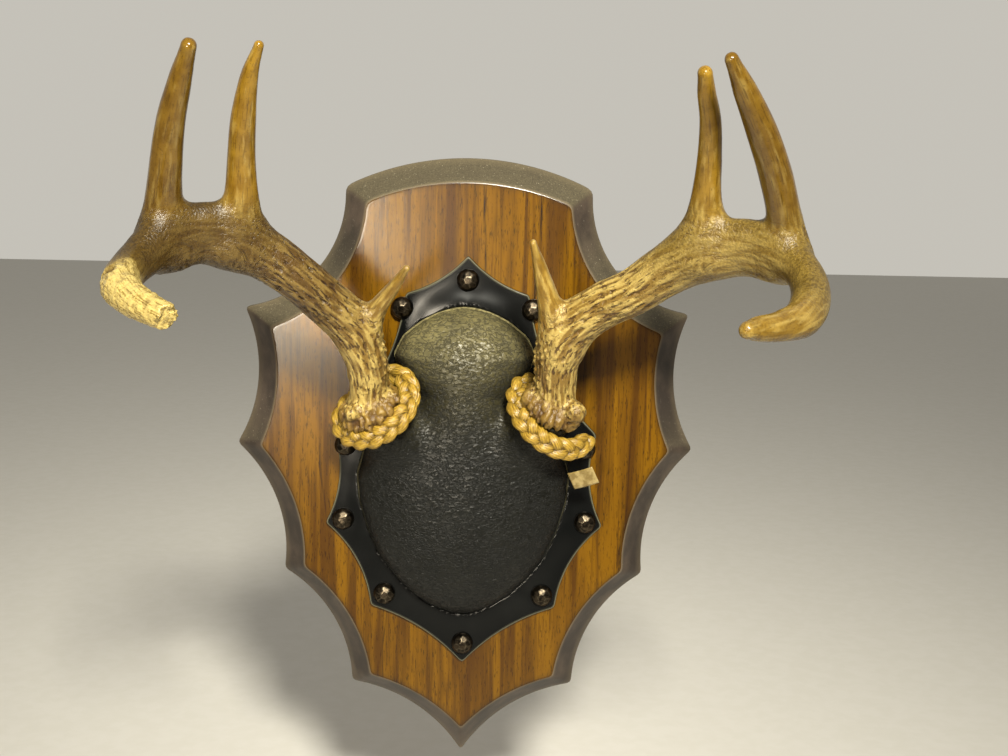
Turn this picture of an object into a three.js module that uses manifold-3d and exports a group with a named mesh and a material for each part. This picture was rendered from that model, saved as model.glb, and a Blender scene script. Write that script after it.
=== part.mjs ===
// Antler plaque mount: a pair of young whitetail antlers on a covered skull plate, fixed to a
// scalloped wooden shield.
//
// Frame: millimetres, +Z up, +X to the right of somebody facing the mount. The wall is the plane
// Y = 0 and everything stands out from it towards -Y. The origin lies on the board's flat back.
// "Left" and "right" are those of somebody facing the mount.

import * as THREE from 'three';
import { mergeVertices } from 'three/addons/utils/BufferGeometryUtils.js';
import Module from 'manifold-3d';

const wasm = await Module();
wasm.setup();

// ---------------------------------------------------------------- driving dimensions

// Gap between pieces that touch in the real mount.
const GAP = 0.3;

// Wooden shield: a 12 x 9 inch board, three quarters of an inch thick.
const BOARD_THICKNESS = 19;
const BOARD_EDGE_LAND = 3;
const BOARD_CHAMFER = 11.2;
const BOARD_CORNERS = {
  tip: [0, -162],
  foot: [56.5, -124.5],
  lower: [91, -65],
  side: [114.3, 0],
  shoulder: [110, 68.5],
  top: [60.5, 128.5],
};
// How far each edge bows, from the tip up to the top corner, then the crown. Negative is hollow.
const BOARD_BOWS = [-7.4, -8.8, -8.6, -8.6, -15.3, 14.5];
const BOARD_ARC_STEPS = 7;

// Sawtooth hanger, let into a shallow recess so that the back stays flat.
const RECESS = { width: 60, height: 14, depth: 3.6, z: 104 };
const HANGER = { width: 56, height: 9, thickness: 0.8, below: 0.4, foot: 6, teeth: 14, tooth: 1.6 };

// Thin moulded trim plate under the skull cover.
const TRIM_THICKNESS = 2;
const TRIM_BEVEL = 0.7;
const TRIM_CORNERS = {
  bottom: [0, -107.7],
  lower: [46, -78.2],
  flank: [68.5, -36],
  side: [64.5, 10.3],
  upper: [30, 78.3],
  top: [0, 97],
};
const TRIM_BOWS = [-3.9, -4.8, -4.8, -7, -2.6];
const TRIM_ARC_STEPS = 5;

// Decorative nails, one inside each corner of the trim plate.
const NAIL_RADIUS = 5.2;
const NAIL_HEIGHT = 4.2;
const NAIL_FACETS = 9;
const NAILS = {
  nail_top: [0, 85.2],
  nail_upper: [31.5, 71.3],
  nail_side: [58.5, 3.5],
  nail_flank: [59.7, -33.8],
  nail_lower: [39.2, -71.7],
  nail_bottom: [0, -97],
};

// Leather cover over the skull plate: height, half width and crown at stations up its middle.
const COVER_STATIONS = [
  [-80.5, 1.5, 0.8],
  [-79, 8, 6],
  [-76, 15, 10.5],
  [-70, 24, 15],
  [-61, 33, 19],
  [-50, 41, 22.5],
  [-38, 46, 24.5],
  [-23, 50.3, 25.5],
  [-10, 51.5, 25.5],
  [2, 48, 25],
  [12, 36, 24.5],
  [21, 26.5, 24],
  [31, 22.5, 24],
  [40, 29.5, 24],
  [49, 34, 23],
  [58, 29.5, 19.5],
  [65, 21, 14.5],
  [70, 11, 8],
  [72, 1.5, 0.8],
];
const COVER_CENTRE_X = -0.8;
const COVER_SIDES = 13;

// Each side: the burr's base with the pedicle's direction there, where the pedicle roots in the
// dome, and the ring that the plaited cord makes round it. The cord's angles are in degrees about the ring's axis. It runs wide about
// its middle angle and is tucked in behind the burr on the far side.
const SIDES = {
  left: {
    burr: { centre: [-43.4, -48.8, 24.9], axis: [-0.4, -0.46, 0.79] },
    root: [-31, -30, 8],
    ring: { centre: [-43.5, -45, 27.5], axis: [-0.42, -0.63, 0.65], radius: 21.8 },
    cord: { start: -50, sweep: 328, middle: 115 },
  },
  right: {
    burr: { centre: [39.2, -49.8, 26.5], axis: [0.42, -0.38, 0.82] },
    root: [28, -30, 8],
    ring: { centre: [41.2, -42.8, 23.5], axis: [0.5, -0.54, 0.68], radius: 22.4 },
    cord: { start: -34, sweep: 270, middle: 60 },
  },
};
const CORD_RADIUS = 4.7;
const CORD_TUCK = 5.5;
const CORD_DROP = 4;
const CORD_STATIONS = 14;
const SLEEVE_WIDTH = 24;
const SLEEVE_ROOT_WIDTH = 28;
const SLEEVE_GAP = 0.8;

// Burr: the knobbly coronet at the root of each antler, as radius against height.
const BURR_PROFILE = [[12.8, 0], [15.5, 1.2], [16.3, 3.2], [15, 5.4], [12, 7.4], [9.2, 9.5]];
const BURR_KNOBS = 8;
const BURR_KNOB_DEPTH = 0.9;

// Antler lengths. Each station is x, y, z, width across the flat of the antler, and how thick it
// is as a share of that width.
const ANTLERS = {
  left: {
    beam: [
      [-45.2, -51, 29, 16.5, 1],
      [-45, -54.8, 36.5, 16.5, 1],
      [-44.5, -58, 44, 18.6, 1],
      [-45.5, -64, 54, 19.5, 0.98],
      [-52, -72, 69, 21, 0.95],
      [-62, -80, 80, 20.5, 0.92],
      [-73, -88, 91, 20.7, 0.88],
      [-87, -96, 102, 22.8, 0.78],
      [-100, -104, 108.6, 27, 0.62],
      [-110, -110, 110.8, 28.4, 0.56],
      [-122.6, -119, 108.6, 25.4, 0.64],
      [-131, -136, 100, 17.6, 0.88],
      [-132, -156, 93, 16, 0.92],
      [-122, -170, 88, 13, 0.95],
      [-109, -180, 84, 11, 0.9],
    ],
    brow_tine: [
      [-47, -67, 63, 14, 1],
      [-43, -72, 71, 11.5, 1],
      [-38, -77, 79, 8, 1],
      [-32, -83, 87, 5.7, 1],
      [-26, -90, 96, 1.6, 1],
    ],
    second_tine: [
      [-97, -101, 104, 29, 0.6],
      [-95.4, -103, 113, 22, 0.72],
      [-93.3, -110, 126, 14.6, 0.88],
      [-91.6, -119, 141, 11.5, 0.95],
      [-88.8, -131, 156, 10.2, 0.95],
      [-84.6, -142, 172, 7.3, 1],
      [-79, -151, 185, 2.4, 1],
    ],
    third_tine: [
      [-123.4, -114, 103, 29, 0.58],
      [-123.4, -118, 112, 22.6, 0.7],
      [-122, -124, 125, 15.4, 0.86],
      [-118, -136, 141, 11.8, 0.95],
      [-114, -146, 155, 10, 0.95],
      [-108, -157, 170, 7.5, 1],
      [-102, -167, 184, 2.8, 1],
    ],
    cuts: {
      burr: [[-45, -55.2, 37.4], [-0.1, -0.42, 0.9], 14],
      brow_tine: [[-39.4, -75.6, 76.8], [0.45, -0.5, 0.74], 8.5],
      fork: [[-57, -76, 75], [-0.62, -0.48, 0.62], 15],
      middle: [[-79, -91.4, 96], [-0.77, -0.4, 0.5], 17],
      second_tine: [[-93.6, -108.5, 123], [0.12, -0.5, 0.85], 11],
      third_tine: [[-122.3, -123.4, 122.5], [0.12, -0.4, 0.9], 11.5],
      tip: [[-130.5, -131, 102], [-0.3, -0.88, -0.36], 14],
    },
  },
  right: {
    beam: [
      [40.4, -50.6, 28.6, 18, 1],
      [41.8, -54.4, 36, 18.3, 1],
      [41.2, -58.8, 45.5, 19.3, 1],
      [42, -64, 57, 20.5, 0.98],
      [49, -72, 71, 21, 0.95],
      [61, -80, 81, 20.3, 0.92],
      [73, -88, 88, 20.8, 0.88],
      [85, -96, 97.6, 22.6, 0.8],
      [99, -106, 106.4, 26, 0.64],
      [116, -116, 109.4, 26.4, 0.58],
      [127, -125, 107.2, 22.6, 0.68],
      [134, -137, 102, 15.8, 0.95],
      [134.5, -152, 94, 15.3, 1],
      [128, -169, 87, 14.8, 1],
      [116, -183, 85, 11.4, 1],
      [107, -191, 85, 8.3, 1],
      [101, -197, 85, 2.4, 1],
    ],
    brow_tine: [
      [43, -65, 60, 18, 0.9],
      [40, -69, 67, 15, 0.9],
      [36.5, -76, 81, 10.6, 0.95],
      [32, -83, 96, 6.1, 1],
      [28, -90, 109, 1.6, 1],
    ],
    second_tine: [
      [99.5, -105, 105.5, 29, 0.6],
      [99.2, -108, 115, 21.5, 0.72],
      [98, -115, 129, 12.9, 0.9],
      [97, -125, 145, 10, 0.95],
      [95, -136, 160, 8.6, 1],
      [92, -143, 170, 7.4, 1],
      [90, -149, 178, 5.4, 1],
    ],
    third_tine: [
      [130.2, -120, 103.5, 28, 0.58],
      [129.6, -124, 112, 20.4, 0.74],
      [126.8, -131, 124, 14.2, 0.9],
      [120.4, -142, 140, 13.4, 0.84],
      [111.5, -154, 157, 12, 0.84],
      [102.8, -164, 171, 9.1, 0.9],
      [96, -171, 182, 3.6, 1],
    ],
    cuts: {
      burr: [[41.8, -55, 37.6], [0.06, -0.42, 0.9], 14],
      brow_tine: [[37, -75, 79], [-0.25, -0.42, 0.87], 9],
      fork: [[55, -76, 76], [0.72, -0.45, 0.55], 15],
      middle: [[80, -92.5, 93.5], [0.74, -0.47, 0.45], 17],
      second_tine: [[98.4, -113, 125], [-0.06, -0.42, 0.9], 10.5],
      third_tine: [[128, -129.2, 121], [-0.22, -0.42, 0.88], 11],
      tip: [[132.8, -133.5, 103.5], [0.45, -0.83, -0.33], 13],
    },
  },
};
const LIMB_SIDES = 10;
const LIMB_STEPS_PER_STATION = 1.5;
const FLAT_PULL = 0.35;

// Tape tab on the cut end of the right cord.
const TAPE = { centre: [56.5, -44, -6], size: [12.5, 1.2, 7.5], turn: 0.35, lean: 0.25 };

// ---------------------------------------------------------------- finishes

function finish(color, roughness, metalness) {
  return new THREE.MeshStandardMaterial({ color, roughness, metalness });
}

const FINISHES = {
  wood: finish(0x9a611f, 0.42, 0),
  steel: finish(0xa8a9a6, 0.4, 1),
  trim: finish(0x15171a, 0.3, 0),
  leather: finish(0x2b2b26, 0.6, 0),
  bronze: finish(0x5a4a34, 0.38, 0.9),
  antler: finish(0xb08d52, 0.5, 0),
  cord: finish(0xc9952f, 0.45, 0),
  tape: finish(0xb39355, 0.35, 0),
};

// ---------------------------------------------------------------- solids

// Gives a geometry's closed surface as a manifold solid, with shared vertices merged.
function toSolid(geometry) {
  const bare = new THREE.BufferGeometry();
  bare.setAttribute('position', geometry.getAttribute('position'));
  bare.setIndex(geometry.getIndex());
  const merged = mergeVertices(bare, 1e-4);
  const mesh = new wasm.Mesh({
    numProp: 3,
    vertProperties: Float32Array.from(merged.getAttribute('position').array),
    triVerts: Uint32Array.from(merged.getIndex().array),
  });
  return new wasm.Manifold(mesh);
}

// Gives a manifold solid back as a three.js geometry.
function toGeometry(solid) {
  const { numProp, vertProperties, triVerts } = solid.getMesh();
  const geometry = new THREE.BufferGeometry();
  const positions = new Float32Array((vertProperties.length / numProp) * 3);
  for (let i = 0; i < positions.length / 3; i += 1) {
    positions.set(vertProperties.subarray(i * numProp, i * numProp + 3), i * 3);
  }
  geometry.setAttribute('position', new THREE.BufferAttribute(positions, 3));
  geometry.setIndex(new THREE.BufferAttribute(Uint32Array.from(triVerts), 1));
  geometry.computeVertexNormals();
  return geometry;
}

// Skins a row of equal closed loops, and closes both ends with flat caps cut from their outlines.
function skinLoops(loops, outlineOf) {
  const count = loops[0].length;
  const positions = loops.flat().flatMap((point) => [point.x, point.y, point.z]);
  const indices = [];
  for (let row = 0; row + 1 < loops.length; row += 1) {
    for (let i = 0; i < count; i += 1) {
      const a = row * count + i;
      const b = row * count + ((i + 1) % count);
      indices.push(a, b, b + count);
      indices.push(a, b + count, a + count);
    }
  }
  const last = (loops.length - 1) * count;
  for (const [a, b, c] of THREE.ShapeUtils.triangulateShape(loops[0].map(outlineOf), [])) {
    indices.push(c, b, a);
  }
  for (const [a, b, c] of THREE.ShapeUtils.triangulateShape(loops.at(-1).map(outlineOf), [])) {
    indices.push(last + a, last + b, last + c);
  }
  const geometry = new THREE.BufferGeometry();
  geometry.setAttribute('position', new THREE.Float32BufferAttribute(positions, 3));
  geometry.setIndex(indices);
  return geometry;
}

// Turns a direction and a point into the transform that stands a shape's +Y along the direction.
function stand(point, direction) {
  const up = new THREE.Vector3(0, 1, 0);
  const axis = new THREE.Vector3(...direction).normalize();
  const turn = new THREE.Quaternion().setFromUnitVectors(up, axis);
  return new THREE.Matrix4().compose(new THREE.Vector3(...point), turn, new THREE.Vector3(1, 1, 1));
}

// ---------------------------------------------------------------- scalloped outlines

// The arc over one edge: its centre and radius. A positive bow stands out, a negative one is hollow.
function edgeArc(from, to, bow) {
  const chord = to.clone().sub(from);
  const half = chord.length() / 2;
  const outward = new THREE.Vector2(chord.y, -chord.x).normalize();
  const radius = (half * half + bow * bow) / (2 * Math.abs(bow));
  const middle = from.clone().add(to).multiplyScalar(0.5);
  const centre = middle.addScaledVector(outward, bow - Math.sign(bow) * radius);
  return { centre, radius, hollow: bow < 0 };
}

// Where two circles cross, on the side nearest to a corner.
function crossing(first, second, corner) {
  const between = second.centre.clone().sub(first.centre);
  const distance = between.length();
  const along = (first.radius ** 2 - second.radius ** 2 + distance ** 2) / (2 * distance);
  const aside = Math.sqrt(Math.max(0, first.radius ** 2 - along ** 2));
  const direction = between.normalize();
  const foot = first.centre.clone().addScaledVector(direction, along);
  const normal = new THREE.Vector2(-direction.y, direction.x);
  const options = [foot.clone().addScaledVector(normal, aside), foot.addScaledVector(normal, -aside)];
  return options.sort((a, b) => a.distanceTo(corner) - b.distanceTo(corner))[0];
}

// Points round a symmetrical outline of arcs, drawn in by an inset all the way round.
function scallopedOutline(corners, bows, inset, steps) {
  const right = corners.map(([x, z]) => new THREE.Vector2(x, z));
  const left = right.filter((corner) => corner.x > 0).reverse();
  const loop = right.concat(left.map((corner) => new THREE.Vector2(-corner.x, corner.y)));
  const mirrored = bows.concat(bows.slice(0, loop.length - bows.length).reverse());
  const arcs = loop.map((corner, i) => {
    const arc = edgeArc(corner, loop[(i + 1) % loop.length], mirrored[i]);
    arc.radius += arc.hollow ? inset : -inset;
    return arc;
  });
  const cusps = loop.map((corner, i) => crossing(arcs.at(i - 1), arcs[i], corner));
  return arcs.flatMap((arc, i) => {
    const start = cusps[i].clone().sub(arc.centre).angle();
    const end = cusps[(i + 1) % cusps.length].clone().sub(arc.centre).angle();
    const turn = THREE.MathUtils.euclideanModulo(end - start + Math.PI, 2 * Math.PI) - Math.PI;
    return Array.from({ length: steps }, (_, k) => {
      const angle = start + (turn * k) / steps;
      const arm = new THREE.Vector2(Math.cos(angle), Math.sin(angle)).multiplyScalar(arc.radius);
      return arm.add(arc.centre);
    });
  });
}

// A plate with a scalloped outline and a chamfered front: back and land depths, then the front.
function scallopedPlate(corners, bows, steps, { back, land, front, chamfer }) {
  const layer = (inset, depth) =>
    scallopedOutline(corners, bows, inset, steps).map((p) => new THREE.Vector3(p.x, -depth, p.y));
  return skinLoops([layer(0, back), layer(0, land), layer(chamfer, front)], (p) =>
    new THREE.Vector2(p.x, p.z));
}

// ---------------------------------------------------------------- board and fittings

function boardSolid() {
  const corners = Object.values(BOARD_CORNERS);
  const plate = toSolid(scallopedPlate(corners, BOARD_BOWS, BOARD_ARC_STEPS, {
    back: 0,
    land: BOARD_EDGE_LAND,
    front: BOARD_THICKNESS,
    chamfer: BOARD_CHAMFER,
  }));
  // The cutter reaches behind the board by as much as it goes in.
  const cutter = new THREE.BoxGeometry(RECESS.width, RECESS.depth * 2, RECESS.height);
  cutter.translate(0, 0, RECESS.z);
  return plate.subtract(toSolid(cutter));
}

// The hanger: a strip with a toothed lower edge, on two feet that reach the recess's floor.
function hangerSolid() {
  const half = HANGER.width / 2;
  const outline = new THREE.Shape();
  outline.moveTo(-half, HANGER.height / 2);
  outline.lineTo(-half, -HANGER.height / 2);
  const toothed = HANGER.width - 2 * HANGER.foot;
  for (let i = 0; i < HANGER.teeth; i += 1) {
    const x = -toothed / 2 + (toothed * i) / HANGER.teeth;
    outline.lineTo(x, -HANGER.height / 2);
    outline.lineTo(x + toothed / HANGER.teeth / 2, -HANGER.height / 2 + HANGER.tooth);
  }
  outline.lineTo(toothed / 2, -HANGER.height / 2);
  outline.lineTo(half, -HANGER.height / 2);
  outline.lineTo(half, HANGER.height / 2);
  outline.closePath();
  const strip = new THREE.ExtrudeGeometry(outline, { depth: HANGER.thickness, bevelEnabled: false });
  strip.rotateX(Math.PI / 2);
  strip.translate(0, -HANGER.below, RECESS.z);
  let solid = toSolid(strip);
  const floor = RECESS.depth - GAP;
  for (const side of [-1, 1]) {
    const depth = floor - HANGER.below;
    const foot = new THREE.BoxGeometry(HANGER.foot, depth, HANGER.height);
    foot.translate(side * (half - HANGER.foot / 2), -HANGER.below - depth / 2, RECESS.z);
    solid = solid.add(toSolid(foot));
  }
  return solid;
}

function trimGeometry() {
  const back = BOARD_THICKNESS + GAP;
  return scallopedPlate(Object.values(TRIM_CORNERS), TRIM_BOWS, TRIM_ARC_STEPS, {
    back,
    land: back + TRIM_THICKNESS - TRIM_BEVEL,
    front: back + TRIM_THICKNESS,
    chamfer: TRIM_BEVEL,
  });
}

const TRIM_FACE = BOARD_THICKNESS + GAP + TRIM_THICKNESS;

// A hammered nail head: a low pyramid-like dome with its flat back on the trim plate.
function nailGeometry() {
  const profile = [
    [0, 0],
    [NAIL_RADIUS - 0.3, 0],
    [NAIL_RADIUS, 0.8],
    [NAIL_RADIUS * 0.86, NAIL_HEIGHT * 0.52],
    [NAIL_RADIUS * 0.42, NAIL_HEIGHT * 0.86],
    [0, NAIL_HEIGHT],
  ];
  return new THREE.LatheGeometry(profile.map(([r, h]) => new THREE.Vector2(r, h)), NAIL_FACETS);
}

// ---------------------------------------------------------------- skull cover

// One cross-section of the cover: a flat back and a crowned front, widest at the rim.
function coverSection([z, halfWidth, crown], rim) {
  const points = [];
  for (let i = 0; i <= COVER_SIDES; i += 1) {
    const angle = (Math.PI * i) / COVER_SIDES;
    const across = -Math.cos(angle);
    const height = crown * Math.max(0, Math.sin(angle)) ** 0.8;
    points.push(new THREE.Vector3(COVER_CENTRE_X + halfWidth * across, -rim - height, z));
  }
  return points;
}

// The covered pedicle, from just short of the burr down to its root inside the dome.
function sleeveSolid({ burr, root }) {
  const axis = new THREE.Vector3(...burr.axis).normalize();
  const below = (distance) =>
    new THREE.Vector3(...burr.centre).addScaledVector(axis, -distance).toArray();
  const stations = [
    [...below(SLEEVE_GAP), SLEEVE_WIDTH, 1],
    [...below(5), SLEEVE_WIDTH, 1],
    [...below(11), SLEEVE_WIDTH, 1],
    [...root, SLEEVE_ROOT_WIDTH, 1],
  ];
  return toSolid(limbGeometry(stations, new THREE.Vector3(1, 0, 0)));
}

// Everything in front of a wall-parallel plane, out to beyond the mount.
function inFrontOf(depth) {
  const block = new THREE.BoxGeometry(400, 400, 400);
  block.translate(0, -depth - 200, 0);
  return toSolid(block);
}

function coverSolid() {
  const rim = TRIM_FACE + GAP;
  const sections = COVER_STATIONS.map((station) => coverSection(station, rim));
  const dome = toSolid(skinLoops(sections, (p) => new THREE.Vector2(p.x, p.y)));
  const sides = Object.values(SIDES);
  const sleeved = sides.reduce((solid, side) => solid.add(sleeveSolid(side)), dome);
  return sides
    .reduce((solid, side) => solid.subtract(toSolid(cordGeometry(side, GAP))), sleeved)
    .intersect(inFrontOf(rim));
}

// ---------------------------------------------------------------- limbs

// The short way of a limb's section at each step. It is carried along the curve without twisting,
// and drawn towards the reference direction wherever that lies across the curve.
function shortWays(curve, steps, reference) {
  const ways = [];
  let way = reference.clone();
  for (let i = 0; i <= steps; i += 1) {
    const tangent = curve.getTangent(i / steps);
    way = way.addScaledVector(tangent, -way.dot(tangent)).normalize();
    way.addScaledVector(reference, FLAT_PULL * Math.sign(way.dot(reference)));
    way.addScaledVector(tangent, -way.dot(tangent)).normalize();
    ways.push(way.clone());
  }
  return ways;
}

// A tapering limb: a lathe closed on its axis, bent along a smooth curve through its stations.
// Its section is an ellipse whose short way follows the reference direction.
function limbGeometry(stations, reference) {
  const curve = new THREE.CatmullRomCurve3(stations.map(([x, y, z]) => new THREE.Vector3(x, y, z)));
  const widths = new THREE.SplineCurve(stations.map(([, , , width, share]) =>
    new THREE.Vector2(width, share)));
  const steps = Math.round((stations.length - 1) * LIMB_STEPS_PER_STATION);
  const ways = shortWays(curve, steps, reference);
  const profile = [new THREE.Vector2(0, 0)];
  for (let i = 0; i <= steps; i += 1) {
    profile.push(new THREE.Vector2(1, i / steps));
  }
  profile.push(new THREE.Vector2(0, 1));
  const lathe = new THREE.LatheGeometry(profile, LIMB_SIDES);
  const position = lathe.getAttribute('position');
  const point = new THREE.Vector3();
  for (let i = 0; i < position.count; i += 1) {
    point.fromBufferAttribute(position, i);
    const t = THREE.MathUtils.clamp(point.y, 0, 1);
    const size = widths.getPoint(t);
    const short = ways[Math.round(t * steps)];
    const long = new THREE.Vector3().crossVectors(curve.getTangent(t), short);
    const place = curve.getPoint(t);
    place.addScaledVector(long, (point.x * size.x) / 2);
    place.addScaledVector(short, (point.z * size.x * size.y) / 2);
    position.setXYZ(i, place.x, place.y, place.z);
  }
  return lathe;
}

// The burr: a lathe whose rim is pushed in and out into knobs.
function burrSolid({ centre, axis }) {
  const profile = [[0, 0], ...BURR_PROFILE, [0, BURR_PROFILE.at(-1)[1]]];
  const lathe = new THREE.LatheGeometry(profile.map(([r, h]) => new THREE.Vector2(r, h)), BURR_KNOBS * 3);
  const position = lathe.getAttribute('position');
  for (let i = 0; i < position.count; i += 1) {
    const x = position.getX(i);
    const z = position.getZ(i);
    const radius = Math.hypot(x, z);
    const swell = BURR_KNOB_DEPTH * Math.cos(BURR_KNOBS * Math.atan2(z, x));
    const scale = radius > 11 ? (radius + swell) / radius : 1;
    position.setXYZ(i, x * scale, position.getY(i), z * scale);
  }
  lathe.applyMatrix4(stand(centre, axis));
  return toSolid(lathe);
}

// The way that the flat of an antler faces: square to its beam and to its tines.
function flatDirection(antler) {
  const [, , root] = antler.second_tine;
  const tip = antler.second_tine.at(-2);
  const before = antler.beam[7];
  const after = antler.beam[10];
  const tine = new THREE.Vector3(tip[0] - root[0], tip[1] - root[1], tip[2] - root[2]);
  const beam = new THREE.Vector3(after[0] - before[0], after[1] - before[1], after[2] - before[2]);
  const flat = new THREE.Vector3().crossVectors(tine, beam).normalize();
  return flat.y < 0 ? flat.negate() : flat;
}

// A thin disc that parts the antler at a fork.
function cutter([point, direction, radius]) {
  const disc = new THREE.CylinderGeometry(radius, radius, GAP, 24);
  disc.applyMatrix4(stand(point, direction));
  return toSolid(disc);
}

// The whole antler as one solid, then parted at its forks into the pieces that a person names.
function antlerPieces(side) {
  const antler = ANTLERS[side];
  const flat = flatDirection(antler);
  let whole = burrSolid(SIDES[side].burr);
  for (const name of ['beam', 'brow_tine', 'second_tine', 'third_tine']) {
    whole = whole.add(toSolid(limbGeometry(antler[name], flat)));
  }
  for (const cut of Object.values(antler.cuts)) {
    whole = whole.subtract(cutter(cut));
  }
  const middle = (name, index) => new THREE.Vector3(...antler[name].at(index).slice(0, 3));
  const homes = {
    burr: new THREE.Vector3(...SIDES[side].burr.centre),
    beam_lower: middle('beam', 3),
    brow_tine: middle('brow_tine', -2),
    beam_middle: middle('beam', 6),
    second_tine: middle('second_tine', -3),
    beam_upper: middle('beam', 9),
    third_tine: middle('third_tine', -3),
    beam_tip: middle('beam', -3),
  };
  const pieces = {};
  for (const solid of whole.decompose()) {
    const { min, max } = solid.boundingBox();
    const centre = new THREE.Vector3(...min).add(new THREE.Vector3(...max)).multiplyScalar(0.5);
    const [name] = Object.entries(homes)
      .sort(([, a], [, b]) => a.distanceTo(centre) - b.distanceTo(centre))[0];
    if (pieces[name]) {
      throw new Error(`two lengths of the ${side} antler lie nearest to ${name}`);
    }
    pieces[name] = toGeometry(solid);
  }
  return pieces;
}

// ---------------------------------------------------------------- cord and tape

// The plaited cord's outer shape: a round tube most of the way round the pedicle, with a
// clearance all round it for cutting its room out of the cover.
function cordGeometry({ ring, cord }, clearance = 0) {
  const frame = stand(ring.centre, ring.axis);
  const stations = Array.from({ length: CORD_STATIONS }, (_, i) => {
    const turn = cord.start + (cord.sweep * i) / (CORD_STATIONS - 1);
    const away = (1 - Math.cos(THREE.MathUtils.degToRad(turn - cord.middle))) / 2;
    const angle = THREE.MathUtils.degToRad(turn);
    const point = new THREE.Vector3(Math.cos(angle), 0, Math.sin(angle));
    point.multiplyScalar(ring.radius - CORD_TUCK * away ** 3);
    point.setY(-CORD_DROP * away ** 3).applyMatrix4(frame);
    return [point.x, point.y, point.z, 2 * (CORD_RADIUS + clearance), 1];
  });
  return limbGeometry(stations, new THREE.Vector3(...ring.axis).normalize());
}

function tapeGeometry() {
  const tab = new THREE.BoxGeometry(...TAPE.size);
  tab.rotateX(TAPE.lean);
  tab.rotateY(-TAPE.turn);
  tab.translate(...TAPE.centre);
  return tab;
}

// ---------------------------------------------------------------- assembly

const mount = new THREE.Group();

function addPiece(name, geometry, material) {
  const mesh = new THREE.Mesh(geometry, material);
  mesh.name = name;
  mount.add(mesh);
  return mesh;
}

addPiece('board', toGeometry(boardSolid()), FINISHES.wood);
addPiece('sawtooth_hanger', toGeometry(hangerSolid()), FINISHES.steel);
addPiece('trim_plate', trimGeometry(), FINISHES.trim);
addPiece('skull_cover', toGeometry(coverSolid()), FINISHES.leather);

for (const [name, [x, z]] of Object.entries(NAILS)) {
  const places = x === 0 ? { [name]: 0 } : { [`${name}_left`]: -x, [`${name}_right`]: x };
  for (const [label, offset] of Object.entries(places)) {
    const nail = addPiece(label, nailGeometry(), FINISHES.bronze);
    nail.rotation.x = Math.PI;
    nail.position.set(offset, -TRIM_FACE - GAP, z);
  }
}

for (const side of Object.keys(SIDES)) {
  for (const [name, geometry] of Object.entries(antlerPieces(side))) {
    addPiece(`antler_${side}_${name}`, geometry, FINISHES.antler);
  }
  addPiece(`cord_${side}`, cordGeometry(SIDES[side]), FINISHES.cord);
}

addPiece('tape_tab', tapeGeometry(), FINISHES.tape);

export default mount;
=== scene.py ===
"""Dresses the antler plaque mount: antlers, leather-covered skull plate, trim, nails and shield.

Sizes and shapes are in millimetres, in the part's own frame: +Z up, +X to the right of somebody
facing the mount, and the wall at Y = 0 with everything standing out towards -Y. They become metres
when a mesh is made. "Left" and "right" are those of somebody facing the mount.
"""

import logging
import math
from dataclasses import dataclass
from enum import Enum
from itertools import product

import bpy
import numpy as np
from bpy.types import Material, Node, NodeSocket, Object, World
from mathutils import Matrix, Vector


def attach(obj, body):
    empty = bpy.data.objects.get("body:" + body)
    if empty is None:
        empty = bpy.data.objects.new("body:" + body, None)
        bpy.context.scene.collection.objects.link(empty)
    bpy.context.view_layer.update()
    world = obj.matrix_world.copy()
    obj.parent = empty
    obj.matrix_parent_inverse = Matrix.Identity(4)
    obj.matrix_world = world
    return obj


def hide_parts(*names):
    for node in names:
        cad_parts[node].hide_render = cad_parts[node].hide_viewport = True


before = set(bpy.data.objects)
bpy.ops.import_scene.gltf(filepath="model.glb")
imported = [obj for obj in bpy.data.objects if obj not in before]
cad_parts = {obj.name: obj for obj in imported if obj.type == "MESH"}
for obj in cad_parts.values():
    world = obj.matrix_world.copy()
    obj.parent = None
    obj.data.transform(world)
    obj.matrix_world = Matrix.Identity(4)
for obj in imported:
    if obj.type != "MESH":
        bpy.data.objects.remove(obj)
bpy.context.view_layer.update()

log = logging.getLogger("antler_plaque_mount")

MM = 0.001  # metres in a millimetre
CORD_ROOM = 0.3  # millimetres between the cover and a cord
AT_ONCE = 20000  # points measured at a time, to spare memory

Array = np.ndarray
Feed = NodeSocket | float | tuple
Owner = Material | World


class Side(Enum):
    """Which of the two antlers or cords, as somebody facing the mount sees them."""

    LEFT = "left"
    RIGHT = "right"


class Slot(Enum):
    """The record's material slots."""

    WOOD = "stained_wood"
    TRIM = "black_trim"
    LEATHER = "black_leather"
    BRONZE = "dark_bronze"
    ANTLER = "antler"
    CORD = "gold_cord"
    TAPE = "clear_tape"


# ---- numbers and patterns


def smooth_step(low: float, high: float, value: Array) -> Array:
    """Rises smoothly from 0 at low to 1 at high.

    Args:
        low: Where the rise starts. It may be above high, for a fall.
        high: Where the rise ends.
        value: The numbers to judge.

    Returns:
        3 t^2 - 2 t^3, with t the clipped share of the way from low to high.
    """
    t = np.clip((value - low) / (high - low), 0.0, 1.0)
    return t * t * (3.0 - 2.0 * t)


def unit(vectors: Array) -> Array:
    """Scales each vector to length 1."""
    return vectors / np.maximum(np.linalg.norm(vectors, axis=-1, keepdims=True), 1e-12)


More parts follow.
